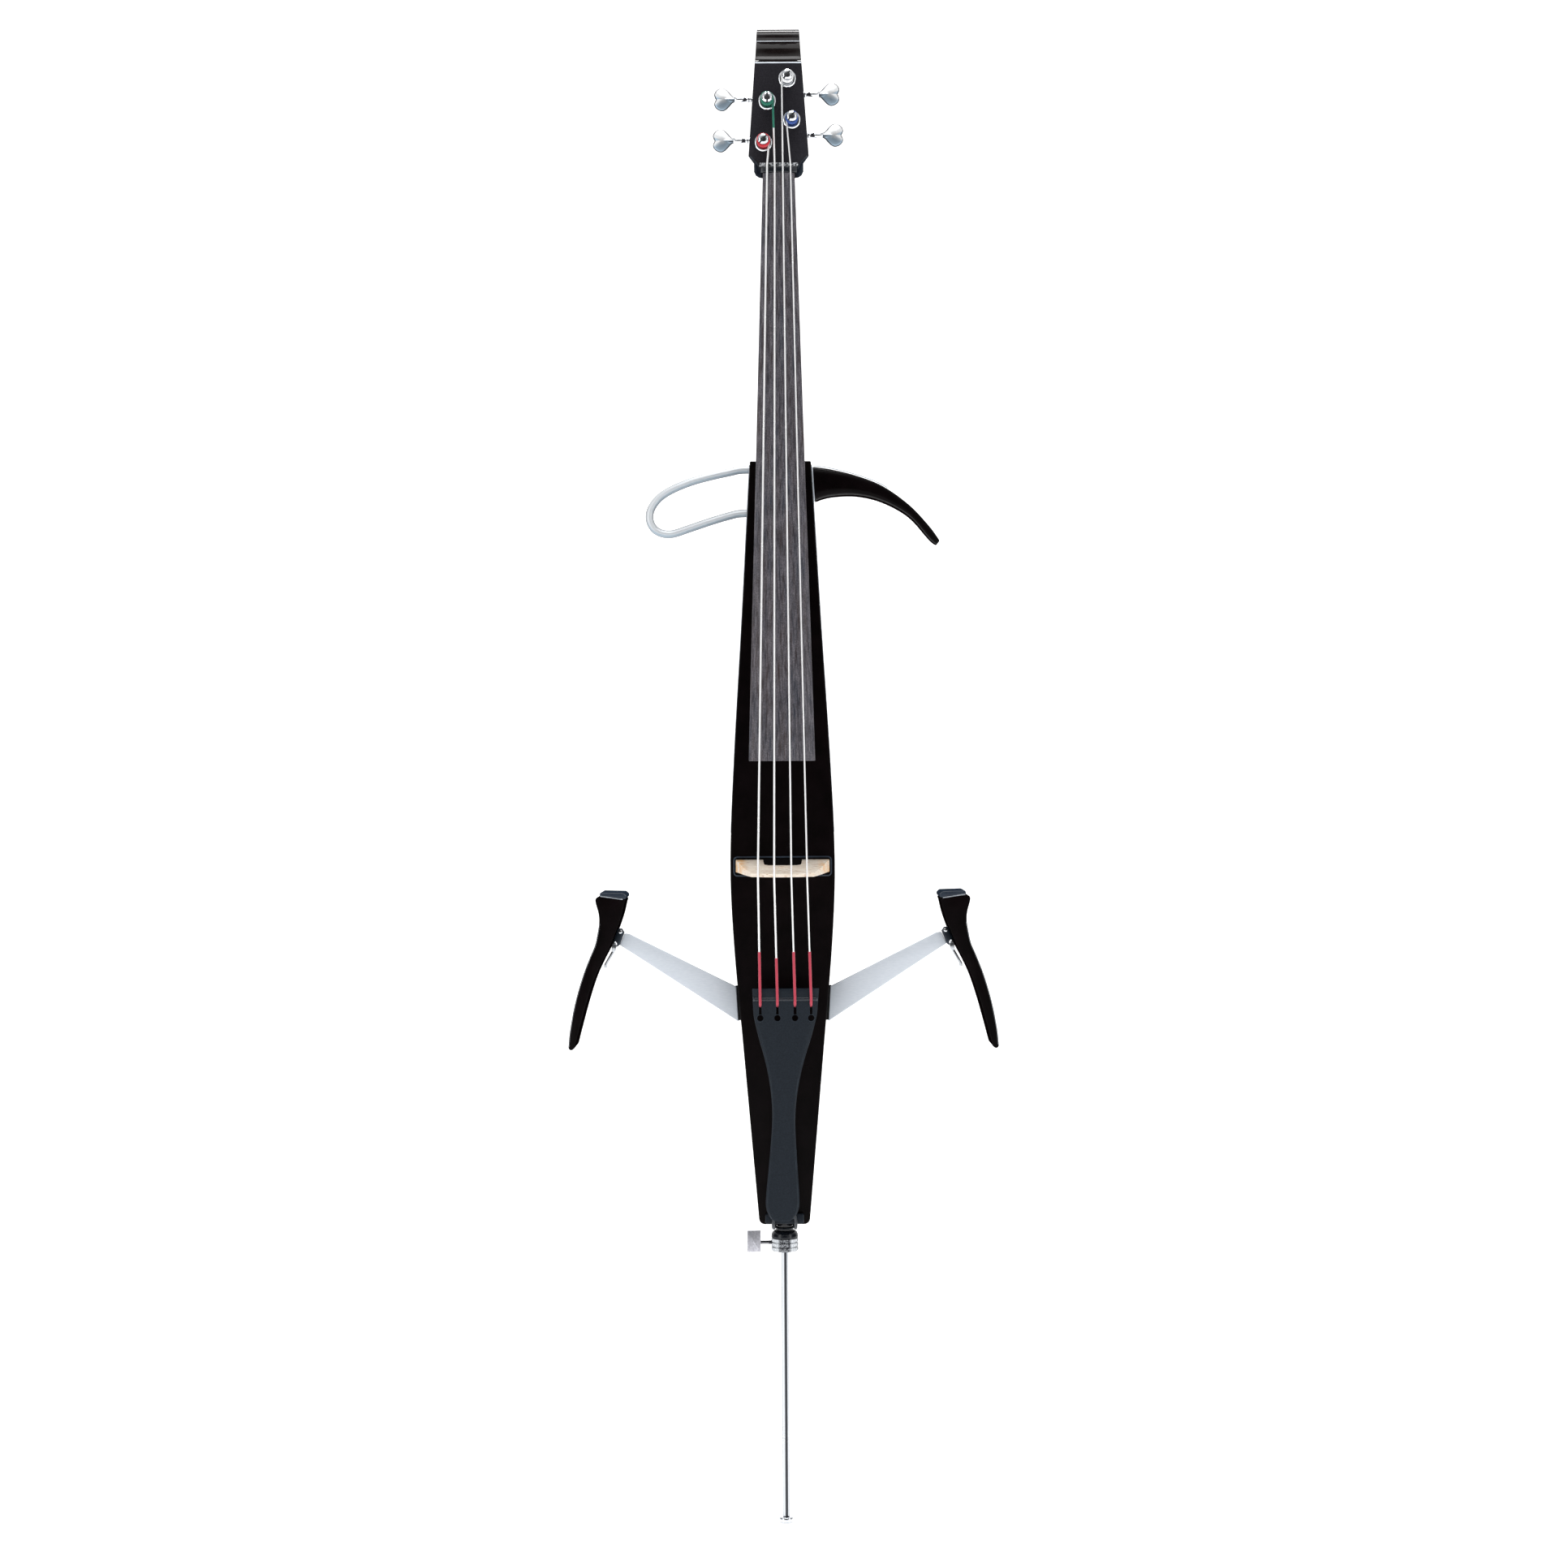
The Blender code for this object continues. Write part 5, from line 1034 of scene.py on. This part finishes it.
# %% Make the machine heads
def make_machine_head(name):
    """Ferrule, post, worm shaft, knob and the plate's screws for one string."""
    x, z = POSTS[name]
    side = 1 if x > 0 else -1
    axis = "x" if side > 0 else "-x"
    worm_z = z - side * 8.6
    ring = [(4.2, 32.4), (7.0, 32.6), (8.0, 32.4), (8.7, 31.9), (9.0, 31.3), (9.0, 30.5), (5.7, 30.5),
            (5.7, 24.6), (4.2, 24.6), (4.2, 32.4)]
    piece("ferrule_" + name, turned(ring, "-y", (x, 0, z)), CHROME, "ferrule_" + name)

    post = [(0, 50), (2.6, 49.95), (4.1, 49.6), (5.0, 48.9), (5.4, 47.9), (5.4, 47.0), (5.0, 46.0),
            (4.5, 45.3),
            (WAIST, 45), (WAIST, 33.4), (3.6, 33.4), (3.6, -1.6), (0, -1.6)]
    post = turned(post, "-y", (x, 0, z), 40)
    slot = block((-0.8, -51, -8), (0.8, -46, 8))
    bmesh.ops.transform(slot, verts=slot.verts, matrix=Matrix.Translation((x, 0, z))
                        @ Matrix.Rotation(math.radians(SLOT_TURN[name]), 4, "Y"))
    post = carve(post, slot)
    wheel = round_edges(plate(gear((x, z), 6, 15), "xz", -4.0, 1.2), 0.15, 1, 40)
    piece("post_" + name, gathered(post, wheel), CHROME, "string_post_" + name)

    tip = KNOB_END[name]
    shaft = [(0, abs(x) - 7), (1.9, abs(x) - 7), (1.9, abs(x) - 4.6)]
    for turn_at in spaced(abs(x) - 4.2, abs(x) + 3.8, 8):
        shaft += [(1.9, turn_at - 0.35), (2.4, turn_at)]
    shaft += [(1.9, abs(x) + 4.6), (1.9, tip - 37.2), (3.9, tip - 37), (4.1, tip - 36.4), (3.9, tip - 35.7),
              (3.0, tip - 35.5), (3.0, tip - 34.9), (3.9, tip - 34.7), (4.1, tip - 34.0), (3.9, tip - 33.3),
              (2.7, tip - 33.0), (2.7, tip - 31), (3.2, tip - 30), (3.2, tip - 21.5), (2.6, tip - 20.4),
              (0, tip - 20.2)]
    piece("worm_shaft_" + name, turned(shaft, axis, (0, WORM_Y, worm_z), 32), CHROME,
          body="tuner_knob_" + name)
    rings = []
    for share in (1.0, 0.97, 0.93, 0.8, 0.6, 0.4, 0.2):
        rings.append([(side * (tip - 9.5) + (px - side * (tip - 9.5)) * share,
                       worm_z + (pz - worm_z) * share)
                      for px, pz in heart(tip, side, worm_z)])
    paddle = crowned(rings, WORM_Y, [0.3, 0.75, 1.1, 1.5, 2.0, 2.4, 2.7])
    ovals = []
    for u, radius in ((-9.5, 0.9), (-8, 1.25), (-4, 1.25), (0, 1.2), (3, 1.1), (5, 0.8), (6, 0.3)):
        ovals.append([(side * (tip - 12 + u), WORM_Y + radius * 2.4 * math.cos(a),
                       worm_z + radius * 1.5 * math.sin(a)) for a in spaced(0, 2 * math.pi * 23 / 24, 23)])
    ridge = skin(ovals)
    piece("knob_" + name, gathered(paddle, ridge), KNOB_METAL, "worm_knob_" + name)

    for number, across in enumerate((-7.4, 7.2)):
        screw_head(f"tuner_screw_{name}_{number}", (side * (abs(x) + across), -5.1, z + side * 5.0), "y",
                   1.5,
                   STEEL, "body", 0.8)
    repaint(STEEL, "tuner_plate_" + name)


for name in STRINGS:
    make_machine_head(name)

# %% [markdown]
# ## Strings
# A string leaves its post on the inner side after two and a half turns, crosses the nut and the
# bridge, and dips into its keyhole. Coloured silk is wound round both ends, so each silk is a
# second, thicker wire over the same route.

# %% Routes of the strings
TAIL_TOP, TAIL_BOTTOM = 549.5, 321.2
RIDGE_Z, KEYHOLE_Z, KEYSLOT_TOP = 539.4, 521, 536
SEAT = 0.35  # how deep a string sits in the bridge


def tail_front(z):
    """Depth of the tailpiece's front at height z."""
    return -71 + (TAIL_TOP - z) / (TAIL_TOP - TAIL_BOTTOM) * 24


def coil_points(name):
    """The turns round the post."""
    x, z = POSTS[name]
    side = 1 if x > 0 else -1
    coil = WAIST + 0.35 + RADIUS[name]
    points = []
    for share in spaced(0, 1, 60):
        angle = math.pi - 2 * math.pi * 2.5 * (1 - share)
        points.append((x + side * coil * math.cos(angle), -45 + 9.4 * share, z + coil * math.sin(angle)))
    return points


def run_points(name):
    """From the nut over the bridge into the keyhole."""
    radius, bridge_x, tail_x = RADIUS[name], BRIDGE_X[name], TAIL_X[name]
    nut_y = NUT_STRING_Y - radius + drop(NUT_X[name]) * 0.6
    crown = BRIDGE_STRING_Y + drop(bridge_x) - radius + SEAT
    ridge = tail_front(RIDGE_Z) - 1.9 - radius
    return [(NUT_X[name], nut_y, 1352), (NUT_X[name], nut_y, NUT_Z), (bridge_x, crown, BRIDGE_Z + 3.4),
            (bridge_x, crown, BRIDGE_Z - 0.4), (tail_x, ridge, RIDGE_Z + 1), (tail_x, ridge, RIDGE_Z - 1.5),
            (tail_x, tail_front(KEYSLOT_TOP) - 0.6, KEYSLOT_TOP - 1.8),
            (tail_x, tail_front(KEYSLOT_TOP) + 4.5, KEYSLOT_TOP - 3.6)]


def point_at(start, end, z):
    """Point at height z on the line from start to end."""
    share = (start[2] - z) / (start[2] - end[2])
    return tuple(a + (b - a) * share for a, b in zip(start, end))


# %% Make the strings and their silk
TAIL_SILK_RADIUS, POST_SILK_COVER = 1.35, 0.14
SILK_END = {"c": 586, "g": 580, "d": 586, "a": 586}
for name in STRINGS:
    coil, run = coil_points(name), run_points(name)
    piece("string_" + name, wire(coil + run, RADIUS[name]), STRING_METAL, "string_" + name)
    silk = [point_at(run[3], run[4], SILK_END[name]), *run[4:]]
    piece("tail_silk_" + name, wire(silk, TAIL_SILK_RADIUS), SILK_TAIL, body="body")
    if name in SILK_OF:
        silk = list(coil)
        if name == "g":
            silk.append(point_at(coil[-1], run[0], 1388.6))
        cover = wire(silk, RADIUS[name] + POST_SILK_COVER)
        piece("post_silk_" + name, cover, SILK_OF[name], body="body")

# %% [markdown]
# ## Bridge and pickup
# The bridge stands on two feet over a pickup, inside a thin frame let into the body. It is cut from
# maple, thick at the feet and thin at the crown, so its outline is pushed out and then thinned.

# %% Make the bridge, its frame and the pickup
FOOT_Y = -24.3
half = [(19, FOOT_Y), (45.9, FOOT_Y), (45.9, FOOT_Y - 4.6)]
half += smooth_line([(45.9, FOOT_Y - 5), (43.5, FOOT_Y - 14), (41, FOOT_Y - 27), (38.5, FOOT_Y - 40),
                     (35.5, FOOT_Y - 52), (33, FOOT_Y - 63), (30, FOOT_Y - 72.5)], 4)[1:]
half += [(x, BRIDGE_STRING_Y + 0.4 + drop(x)) for x in (26, 21, 16, 10, 5)]
arch = [(-18.9, FOOT_Y - 6), (-18.6, FOOT_Y - 13), (-18, FOOT_Y - 24), (-17, FOOT_Y - 28.5),
        (-13.5, FOOT_Y - 31),
        (-6, FOOT_Y - 31.8), (6, FOOT_Y - 31.8), (13.5, FOOT_Y - 31), (17, FOOT_Y - 28.5),
        (18, FOOT_Y - 24),
        (18.6, FOOT_Y - 13), (18.9, FOOT_Y - 6)]
bridge = plate(half + mirrored(half) + arch, "xy", -6, 6)
for vertex in bridge.verts:
    share = (FOOT_Y - vertex.co.y) / (FOOT_Y - BRIDGE_STRING_Y)
    middle = 667.2 + share * (BRIDGE_Z + 1.6 - 667.2)
    vertex.co.z = middle + vertex.co.z * (12 - 8.8 * share) / 12
bridge = round_edges(bridge, 0.5, 2, 50)
heart_hole = plate(rounded_rectangle(4, 5, 3, (0, -68)), "xy", 640, 690)
notches = [rod((BRIDGE_X[s], BRIDGE_STRING_Y + drop(BRIDGE_X[s]) - RADIUS[s] + SEAT + 0.15, 650), "z", 20,
               RADIUS[s] + 0.05, 12, 0.05) for s in STRINGS]
piece("bridge", carve(bridge, heart_hole, *notches), MAPLE, "bridge")

outer = round_edges(plate(rounded_rectangle(48.4, 9.9, 4, (0, 666.5)), "xz", FRONT - 0.5, FRONT + 4.6),
                    0.25, 2, 60)
inner = plate(rounded_rectangle(47.1, 8.6, 2.7, (0, 666.5)), "xz", FRONT - 5, FRONT + 10)
piece("pickup_frame", carve(outer, inner), FRAME_SLATE, "pickup_frame")
pad = plate(rounded_rectangle(46.8, 8.3, 2.4, (0, 666.5)), "xz", -24, FRONT + 4.6)
piece("bridge_pickup", round_edges(pad, 0.4, 2, 60), PICKUP_BLACK, "bridge_pickup")

# %% [markdown]
# ## Tailpiece and saddle
# The tailpiece is slightly crowned across and leans a degree to one side. Sections every few
# millimetres keep its long curve smooth. A ridge near its top lifts the strings, and each string
# is held in a keyhole. A gut ties its lower end round the endpin socket, over a small saddle.

# %% Make the tailpiece
TAIL_HALF = [(321.2, 7.0), (323.5, 10.9), (328.6, 14.2), (336, 16.2), (345, 16.2), (363, 14.9), (390, 12.8),
             (415, 11.3), (432, 11.4), (446, 12.6), (458, 14.3), (472, 17.1), (486, 20.7), (500, 24.9),
             (512, 28.0), (523, 30.4), (535, 31.4), (549.5, 32.2)]
TAIL_LEAN = 4.4 / 228
rings = []
for z in [321.2, 322, *spaced(323.5, 549.5, 56)]:
    half = between(TAIL_HALF, z)
    shift, front = (z - 435) * TAIL_LEAN, tail_front(z)
    crown = min(half * 0.035, 1.1)
    ring = [(x * half + shift, front - crown * (1 - x * x) + 1.6 * abs(x) ** 14, z)
            for x in spaced(1, -1, 20)]
    ring += [(x + shift, front + depth, z) for x, depth in
             ((-half, 6.8), (-half + 1.2, 8), (half - 1.2, 8), (half, 6.8))]
    rings.append(ring)
tail = round_edges(skin(rings), 1.4, 3, 55)
holes = []
for name in STRINGS:
    x, y = TAIL_X[name], tail_front(KEYHOLE_Z) - 8
    holes.append(rod((x, y, KEYHOLE_Z), "y", 24, 3.1, 32, 0.1))
    holes.append(block((x - 1.4, y, KEYHOLE_Z), (x + 1.4, y + 24, KEYSLOT_TOP)))
piece("tailpiece", carve(tail, *holes), SLATE, "tailpiece", smooth=30)
ridge = [(0, 0), (1.4, 0.2), (2.0, 1.0), (2.2, 2.4), (2.2, 60.6), (2.0, 62), (1.4, 62.8), (0, 63)]
ridge_y = tail_front(RIDGE_Z) + 0.6
piece("tail_ridge", turned(ridge, "x", (-29.6, ridge_y, RIDGE_Z), 24), SHOULDER, body="body")
for name in STRINGS:
    rim = turned([(3.15, 0.0), (3.6, 0.0), (3.6, 0.5), (3.4, 0.7), (3.15, 0.5), (3.15, 0.0)], "-y",
                 (TAIL_X[name], tail_front(KEYHOLE_Z) + 0.2, KEYHOLE_Z), 32)
    piece("keyhole_rim_" + name, rim, SLATE, body="body")

# %% Make the saddle and the gut
saddle = round_edges(block((-19, -33.5, 316.6), (19, FRONT - 0.3, 326)), 1.6, 4, 60)
piece("saddle", saddle, SLATE, "saddle")
run = smooth_line([(8, -38.2, 338), (9.8, -36.5, 326), (10.9, -35.9, 320), (11.1, -34.9, 316.2),
                   (10.8, -29, 311.9), (10.0, -14, 311.0)], 4)
loop = [(9.5 * math.cos(a), 9.5 * math.sin(a), 311.0)
        for a in spaced(math.radians(-10), math.radians(190), 20)]
piece("tailgut", wire(run + loop + [(-x, y, z) for x, y, z in reversed(run)], 1.6), GUT, "tailgut")

# %% [markdown]
# ## Endpin
# The endpin slides in a ribbed socket. A chrome collar with three knurled bands clamps it with a
# thumbscrew. The knurl is real: every second column of the spun band is pulled in a little.

# %% Make the socket and the collar
socket = [(3.8, 340), (12, 340), (12, 314.4), (11.4, 313.8), (9.2, 313.5), (9.2, 313.1), (7.6, 312.8),
          (7.6, 309.2),
          (9.6, 308.9), (10.0, 308.3), (9.6, 307.6), (8.6, 307.2), (8.6, 305.9), (9.6, 305.6),
          (10.9, 304.9), (12.0, 303.8),
          (12.7, 302.4), (13.1, 300.8), (13.2, 299.6), (13.2, 298.5), (3.8, 298.5), (3.8, 340)]
piece("endpin_socket", turned(socket, steps=64), SOCKET_BLACK, "endpin_socket")
collar = [(3.8, 298.1), (12.4, 298.1)]
for low in (293.9, 289.6, 285.3):
    collar += [(12.7, low + 3.9), (13.3, low + 3.5), (13.3, low + 0.7), (12.7, low + 0.3), (12.5, low)]
collar += [(12.2, 285.1), (3.8, 285.1), (3.8, 298.1)]
collar = turned(collar, steps=96)
for vertex in collar.verts:
    if math.hypot(vertex.co.x, vertex.co.y) > 13.0:
        column = round(math.degrees(math.atan2(vertex.co.y, vertex.co.x)) / 3.75)
        if column % 2:
            vertex.co.x *= 0.975
            vertex.co.y *= 0.975
collar = carve(collar, rod((-20, 0, 293.4), "x", 14, 2.5, 24, 0.1))
piece("endpin_collar", collar, COLLAR_METAL, "endpin_collar", smooth=28)
repaint(ALUMINIUM, "endpin_tube")

# %% Make the thumbscrew, the rod and the tip
shaft = [(0, 4.2), (1.9, 4.2)]
for turn_at in spaced(5, 15, 10):
    shaft += [(1.7, turn_at), (2.1, turn_at + 0.5)]
shaft += [(1.7, 16), (1.7, 24), (0, 25)]
paddle = plate(rounded_rectangle(6.7, 10.5, 0.8, (-30.5, 294.5)), "xz", -2.4, 2.4)
paddle = round_edges(paddle, 0.6, 2, 60)
piece("endpin_thumbscrew", paddle, PADDLE_METAL, "endpin_thumbscrew")
piece("thumbscrew_thread", turned(shaft, "-x", (0, 0, 293.4), 24), DARK_STEEL, body="endpin_screw")
piece("endpin_rod", rod((0, 0, 22.2), "z", 337.8, 3.5, 40, 0.5), ROD_METAL, "endpin_rod")
tip = [(0, 21.9), (6.6, 21.9), (7.3, 21.5), (7.6, 20.9), (7.6, 18.4), (7.2, 18.0), (7.2, 17.4), (7.6, 17.0),
       (7.6, 13.2), (7.3, 12.6), (6.6, 12.2), (2.8, 12.2), (2.6, 11.4), (2.2, 8), (0.9, 0.2), (0.7, 0),
       (0, 0)]
piece("endpin_tip", turned(tip, steps=48), CHROME, "endpin_tip")

# %% [markdown]
# ## Knee supports
# Two aluminium arms fold out from brackets on the body's sides. Each carries a black knee piece
# shaped like a strip of a lower bout, with a slate cap, a layered hinge block and a small lever.

# %% Outlines of the knee pieces
KNEE_OUTER = smooth_line([(180.5, 638.0), (184.2, 634.2), (181.2, 621.6), (180.5, 613), (182.0, 602.5),
                          (184.8, 589.8), (190.2, 577.0), (197.4, 558.0), (204.7, 532.5), (209.6, 507),
                          (211.4, 490)], 5)
KNEE_INNER = smooth_line([(155.0, 634.2), (156.2, 630.0), (158.4, 620.5), (162.6, 607.5), (167.6, 595),
                          (172.6, 584), (179.2, 571.5), (186.6, 555), (194.0, 532.5), (201.0, 507),
                          (205.9, 488.2)], 5)

def to_side(side, points):
    """The outline on one side of the instrument."""
    return [(side * u, v) for u, v in points]


# %% Make the arms and the knee pieces
def make_support(side, label):
    """Bracket, arm, knee piece, cap, hinge, pins and lever of one side."""
    repaint(PLASTIC, "arm_bracket_" + label)
    arm = to_side(side, [(44.4, 513.0), (150, 582.0), (161.4, 589.3), (156.4, 600.6), (151.5, 600.1),
                         (46.4, 547.5)])
    arm = round_edges(plate(arm, "xz", -11, -7), 0.9, 3, 60)
    piece("arm_plate_" + label, arm, ARM_METAL, "knee_arm_" + label)
    low = (min(side * 49.5, side * 54), -9, 523.9)
    high = (max(side * 49.5, side * 54), 0, 537.1)
    barrel = gathered(rod((side * 51, 0, 523.9), "z", 13.2, 3.2, 32, 0.4),
                      rod((side * 51, 0, 518.5), "z", 24, 1.9, 24),
                      round_edges(block(low, high), 0.6, 2, 60))
    piece("arm_knuckle_" + label, barrel, STEEL, body="arm_" + label)
    for z in (518.5, 542.0):
        half = between(BODY_HALF, z) + 2.7
        for y in (-4.5, 10.5):
            screw_head(f"bracket_screw_{label}_{round(z)}_{round(y) + 9}", (side * half, y, z),
                       "x" if side > 0 else "-x", 1.7, STEEL, "body", 0.8)

    end = [(208.65 + 2.7 * math.cos(math.radians(a)), 489.6 + 2.7 * math.sin(math.radians(a)))
           for a in spaced(0, -150, 8)]
    outline = to_side(side, KNEE_OUTER + end + KNEE_INNER[::-1])
    knee = round_edges(plate(outline, "xz", -25, 40), 1.2, 3, 60)
    piece("knee_piece_" + label, knee, LACQUER, "knee_piece_" + label)
    # Painted highlight: a thin ribbed wire along the knee piece's outer front edge.
    highlight_cord = [(side * (u - 0.7), -24.4, v) for u, v in KNEE_OUTER if v < 613]
    piece("knee_edge_highlight_" + label, wire(highlight_cord, 0.65, 2), PAINTED_EDGE_HIGHLIGHT, body="knee_" + label)
    cap = to_side(side, [(155.0, 634.9), (180.3, 638.6), (179.4, 641.6), (157.0, 641.0), (154.0, 638.0)])
    piece("knee_cap_" + label, round_edges(plate(cap, "xz", -24.5, 39.5), 0.8, 3, 40), FRAME_SLATE,
          "knee_cap_" + label)
    # Painted highlight: a row of light teeth along the cap's lower edge draws a serrated line of light.
    teeth = []
    for share in spaced(0, 1, 22):
        x, z = 157.6 + 21.2 * share, 634.5 + 3.1 * share
        tooth = block((side * x - 0.36, -25.0, z - 0.8), (side * x + 0.36, -24.0, z + 0.8))
        teeth.append(round_edges(tooth, 0.2, 1, 60))
    piece("knee_cap_highlight_teeth_" + label, gathered(*teeth), ALUMINIUM, body="knee_" + label)

    hinge = [(159.6, 605.0), (163.0, 605.0), (168.8, 591.0), (165.6, 586.6), (162.1, 588.6), (157.0, 601.2)]
    block_shape = plate(to_side(side, hinge), "xz", -13.5, 3)
    piece("knee_hinge_block_" + label, round_edges(block_shape, 0.6, 2, 40), FRAME_SLATE,
          "knee_hinge_block_" + label)
    inset = [(162.8 + (u - 162.8) * 0.72, 596.2 + (v - 596.2) * 0.72) for u, v in hinge]
    layer = round_edges(plate(to_side(side, inset), "xz", -17, -13.5), 0.6, 2, 40)
    piece("knee_hinge_layer_" + label, layer, SLATE, body="knee_" + label)
    for number, (x, z, radius, out) in enumerate(((160.5, 602.6, 2.1, 17.6), (166.0, 590.6, 2.6, 17.9))):
        pin = turned([(0, out), (radius * 0.6, out - 0.1), (radius, out - 0.9), (radius, out - 2.4),
                      (0, out - 2.4)],
                     "-y", (side * x, 0, z), 28)
        piece(f"knee_pin_{label}_{number}", pin, CHROME, body="knee_" + label)
    lever = to_side(side, [(166.2, 586.0), (168.9, 583.6), (176.4, 570.4), (176.6, 566.6), (173.6, 567.0),
                           (173.4, 570.4), (166.4, 582.2), (164.6, 584.6)])
    piece("knee_lever_" + label, round_edges(plate(lever, "xz", -14, -4), 0.5, 2, 40), STEEL,
          "knee_lever_" + label)
    strap = to_side(side, [(163.6, 590.2), (164.2, 585.6), (166.4, 582.2), (168.9, 583.6), (168.6, 587.6),
                           (168.4, 591.0)])
    strap = round_edges(plate(strap, "xz", -19.2, -17.6), 0.4, 2, 40)
    piece("lever_strap_" + label, strap, STEEL, body="lever_" + label)


for side, label in ((-1, "left"), (1, "right")):
    make_support(side, label)

# %% [markdown]
# ## Horn and shoulder loop
# On the right a black horn slides on two pegs and a screw at the back holds it. On the left a bent
# aluminium rod stands for the other shoulder, with both ends in the body.

# %% Make the horn and the loop
HORN_TOP = smooth_line([(32.2, 1060.6), (50, 1057.9), (75.7, 1051.3), (101.3, 1040.9), (126.9, 1022.5),
                        (146, 1002.4), (155.6, 989.4), (156.8, 986.6)], 6)
HORN_BOTTOM = smooth_line([(34.2, 1026.8), (50, 1031.3), (75.6, 1032.1), (101.3, 1025.7), (126.8, 1011.2),
                           (146, 989.6), (152.4, 984.0), (154.6, 983.9)], 6)
rings = []
for place, (top, bottom) in enumerate(zip(HORN_TOP, HORN_BOTTOM)):
    middle = [(a + b) / 2 for a, b in zip(top, bottom)]
    depth = 17 - 9 * (place / 42) ** 2
    rings.append(oval_ring(middle, [(a - b) / 2 for a, b in zip(top, bottom)], -depth, depth, 0.42))
horn = round_edges(skin(rings), 0.6, 2, 50)
piece("upper_bout", horn, LACQUER, "upper_bout")
rim = [(between(BODY_HALF, z) + out, z)
       for z, out in ((1027.5, 0.4), (1059.8, 0.4), (1059.8, 1.7), (1027.5, 1.7))]
rim = round_edges(plate(rim, "xz", -16, 16), 0.3, 2, 60)
pegs = [rod((14, 0, z), "x", 18, 4, 32, 0.6) for z in PEG_HEIGHTS]
piece("upper_bout_plate", gathered(rim, *pegs), ALUMINIUM, "upper_bout_plate")
# Painted highlight: a light wire along the horn's top edge near its root.
highlight_line = [(x, -17.2, z + 0.1) for x, z in HORN_TOP[:20]]
piece("horn_top_highlight", wire(highlight_line, 0.5, 2), TUBE, body="horn")
grip = turned([(0, 11), (6.6, 11), (7.5, 10.6), (8, 9.8), (8, 3.4), (7.4, 2.4), (6, 0.4), (2.2, 0.4),
               (2.2, -14),
               (0, -14)], "y", (22, BACK, 1042), 60)
for vertex in grip.verts:
    arm = Vector((vertex.co.x - 22, 0, vertex.co.z - 1042))
    if arm.length > 7.7 and round(math.degrees(math.atan2(arm.z, arm.x)) / 6) % 2:
        vertex.co -= arm * 0.05
piece("upper_bout_screw", grip, CHROME, "upper_bout_screw", smooth=28)
loop = [(-14, 1058.6), (-38, 1058.6), (-50, 1056.4), (-70.3, 1052), (-89.6, 1046.7), (-108.9, 1038.7),
        (-121.5, 1030.0), (-129.0, 1018.6), (-129.2, 1007.5), (-122.6, 998.4), (-109.2, 995.3),
        (-89.9, 1001.0),
        (-70.6, 1007.4), (-50, 1013.4), (-38, 1015.5), (-14, 1015.5)]
loop = wire([(x, 0, z) for x, z in smooth_line(loop, 5)], 3.9, 8)
piece("shoulder_loop", loop, TUBE, "shoulder_loop")
